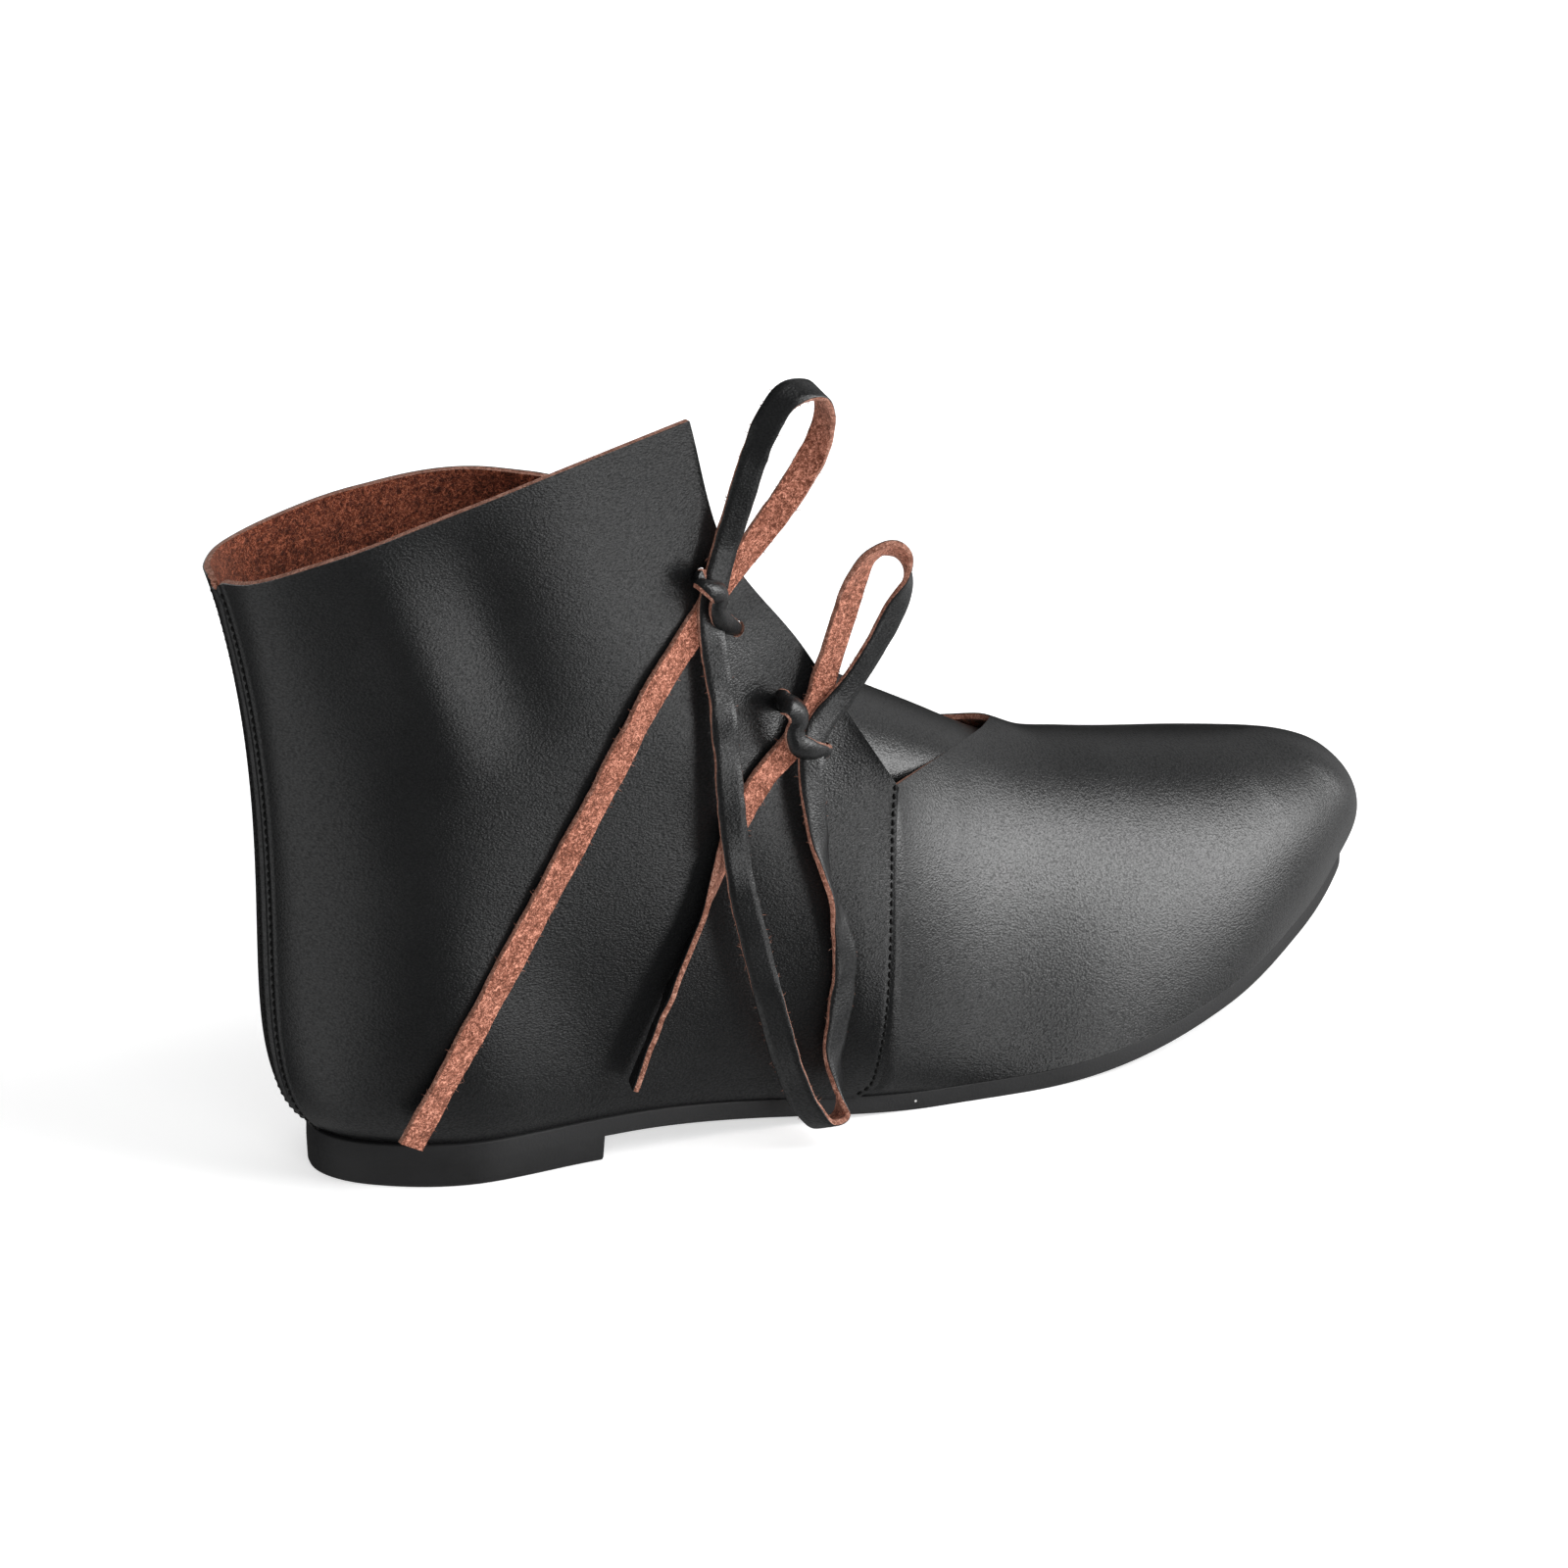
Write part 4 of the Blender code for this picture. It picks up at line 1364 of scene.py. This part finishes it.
def black_thread():
    """Twisted black sewing thread."""
    material, tree, shader, place = new_material("thread_look")
    twist = noise(tree, place, 4200.0, 2.0)
    set_inputs(
        tree,
        shader,
        Normal=relief(tree, twist, 0.4, 0.0002),
        Base_Color=ramp(tree, twist, ((0.35, (0.002, 0.002, 0.002)), (0.7, (0.006, 0.006, 0.006)))),
        Roughness=0.6,
        Specular_IOR_Level=0.2,
    )
    return material


def floor_paint():
    """Plain pale studio floor."""
    material, tree, shader, place = new_material("floor_look")
    cloud = noise(tree, place, 3.0, 3.0)
    set_inputs(
        tree,
        shader,
        Base_Color=ramp(tree, cloud, ((0.3, (0.86, 0.86, 0.86)), (0.7, (0.88, 0.88, 0.88)))),
        Roughness=0.9,
        Emission_Color=(1.0, 1.0, 1.0, 1.0),
        Emission_Strength=0.55,
    )
    return material


def floor():
    """Large pale floor that the boot stands on."""
    bpy.ops.mesh.primitive_plane_add(size=FLOOR_SIZE, location=(0.0, 0.0, 0.0))
    thing = bpy.context.object
    thing.name = "floor"
    thing.data.materials.append(floor_paint())
    thing.visible_glossy = False


def lights():
    """Soft boxes round the boot and the room with its key light."""
    for name, x, y, z, wide, high, power, mirrored in LIGHT_ROWS:
        lamp = bpy.data.lights.new(name, "AREA")
        lamp.shape = "RECTANGLE"
        lamp.size = wide
        lamp.size_y = high
        lamp.energy = power
        thing = bpy.data.objects.new(name, lamp)
        thing.matrix_world = looking(np.array([x, y, z]), np.array(AIM))
        thing.visible_glossy = mirrored
        bpy.context.scene.collection.objects.link(thing)
    bpy.context.scene.world = room()


def pointing(azimuth, elevation):
    """Direction at an azimuth and elevation in degrees, and the level direction to its right."""
    a, e = math.radians(azimuth), math.radians(elevation)
    ahead = np.array([math.sin(a) * math.cos(e), -math.cos(a) * math.cos(e), math.sin(e)])
    return ahead, np.array([math.cos(a), math.sin(a), 0.0])


def facing(tree, way, axis):
    """How far a direction points along an axis."""
    node = tree.nodes.new("ShaderNodeVectorMath")
    node.operation = "DOT_PRODUCT"
    feed(tree, way, node.inputs[0])
    feed(tree, tuple(axis), node.inputs[1])
    return node.outputs["Value"]


def key_light(tree, way):
    """Large soft box to the front right, with soft and slightly slanted edges."""
    ahead, right = pointing(KEY_AZIMUTH, KEY_ELEVATION)
    aside = facing(tree, way, right)
    rise = facing(tree, way, np.cross(ahead, right))
    lower = blend(tree, (rise, 1.0), (aside, KEY_SKEW))
    outer = blend(tree, (aside, 1.0), (rise, KEY_SLANT))
    total = map_range(tree, facing(tree, way, ahead), 0.0, 0.2, 0.0, KEY_STRENGTH)
    for value, place, low, high in (
        (aside, KEY_LEFT, 0.0, 1.0),
        (outer, KEY_RIGHT, 1.0, 0.0),
        (lower, KEY_LOW, 0.0, 1.0),
        (rise, KEY_HIGH, 1.0, 0.0),
    ):
        side = map_range(tree, value, place - KEY_SOFT, place + KEY_SOFT, low, high)
        total = math_node(tree, "MULTIPLY", total, side)
    return total


def room():
    """Dim room with a key light and soft bright patches to either side."""
    world = bpy.data.worlds.new("room")
    world.use_nodes = True
    tree = world.node_tree
    way = add_node(tree, "ShaderNodeTexCoord").outputs["Generated"]
    total = math_node(tree, "ADD", key_light(tree, way), ROOM_LEVEL)
    for x, y, z, narrow, wide, strength in ROOM_ROWS:
        patch = map_range(tree, facing(tree, way, (x, y, z)), wide, narrow, 0.0, strength)
        total = math_node(tree, "ADD", patch, total)
    set_inputs(tree, tree.nodes["Background"], Strength=total, Color=(1.0, 1.0, 1.0, 1.0))
    return world


def looking(place, target):
    """Matrix at a place that looks at a target along -z."""
    back = unit(place - target)
    right = unit(np.cross(np.array([0.0, 0.0, 1.0]), back))
    return axes_matrix(right, back, place)


def axes_matrix(right, back, place):
    """Matrix from its x axis, its z axis and a place."""
    rows = np.eye(4)
    rows[:3] = np.column_stack([right, np.cross(back, right), back, place])
    return Matrix(rows.tolist())


def camera():
    """Camera at the photograph's place, turned to bring the one boot to the middle."""
    back, right = pointing(CAMERA_AZIMUTH, CAMERA_ELEVATION)
    up = np.cross(back, right)
    aside, down = (np.array(BOOT_PIXEL) - FRAME_PIXELS / 2) / FOCAL_PIXELS
    back = unit(back - right * aside + up * down)
    right = unit(right - back * (right @ back))
    lens = bpy.data.cameras.new("camera")
    lens.sensor_width = SENSOR
    lens.lens = SENSOR * FOCAL_PIXELS / FRAME_PIXELS * CLOSER
    lens.clip_start = 0.05
    lens.clip_end = 50.0
    thing = bpy.data.objects.new("camera", lens)
    thing.matrix_world = axes_matrix(right, back, placed(CAMERA_PLACE))
    bpy.context.scene.collection.objects.link(thing)
    bpy.context.scene.camera = thing


def clear_scene():
    """Remove what the file starts with."""
    for thing in list(bpy.data.objects):
        bpy.data.objects.remove(thing)


def build():
    """Dress the frame, light it and point the camera."""
    clear_scene()
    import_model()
    bpy.context.scene.view_settings.view_transform = "Standard"
    camera()
    grain = grain_leather("black_leather")
    suede = suede_leather("flesh_side", SUEDE_TONES, 0.0005)
    cut = suede_leather("raw_edge", EDGE_TONES, 0.0003)
    # The panels' inner faces and the insole take a darker copy of the flesh side, as painted shade for the
    # inside of the boot.
    shaded_flesh = suede_leather("flesh_side_shaded", SHADED_FLESH_TONES, 0.0006)
    leather = [grain, suede, cut]
    panel = [grain, shaded_flesh, cut]
    rubber = sole_rubber()
    thong(leather)
    band("upper_bar", UPPER_BAND, "upper_band", leather)
    band("lower_bar", LOWER_BAND, "lower_band", leather)
    inner_band("inner_upper_bar", UPPER_HOLES, "inner_upper_band", leather)
    inner_band("inner_lower_bar", LOWER_HOLES, "inner_lower_band", leather)
    grids = [quarter(OUTER, panel), quarter(INNER, panel)]
    vamp(panel)
    tongue(panel)
    stitches(grids, black_thread())
    outsole_piece(rubber)
    heel_piece(rubber)
    insole_piece(shaded_flesh)
    floor()
    lights()


build()
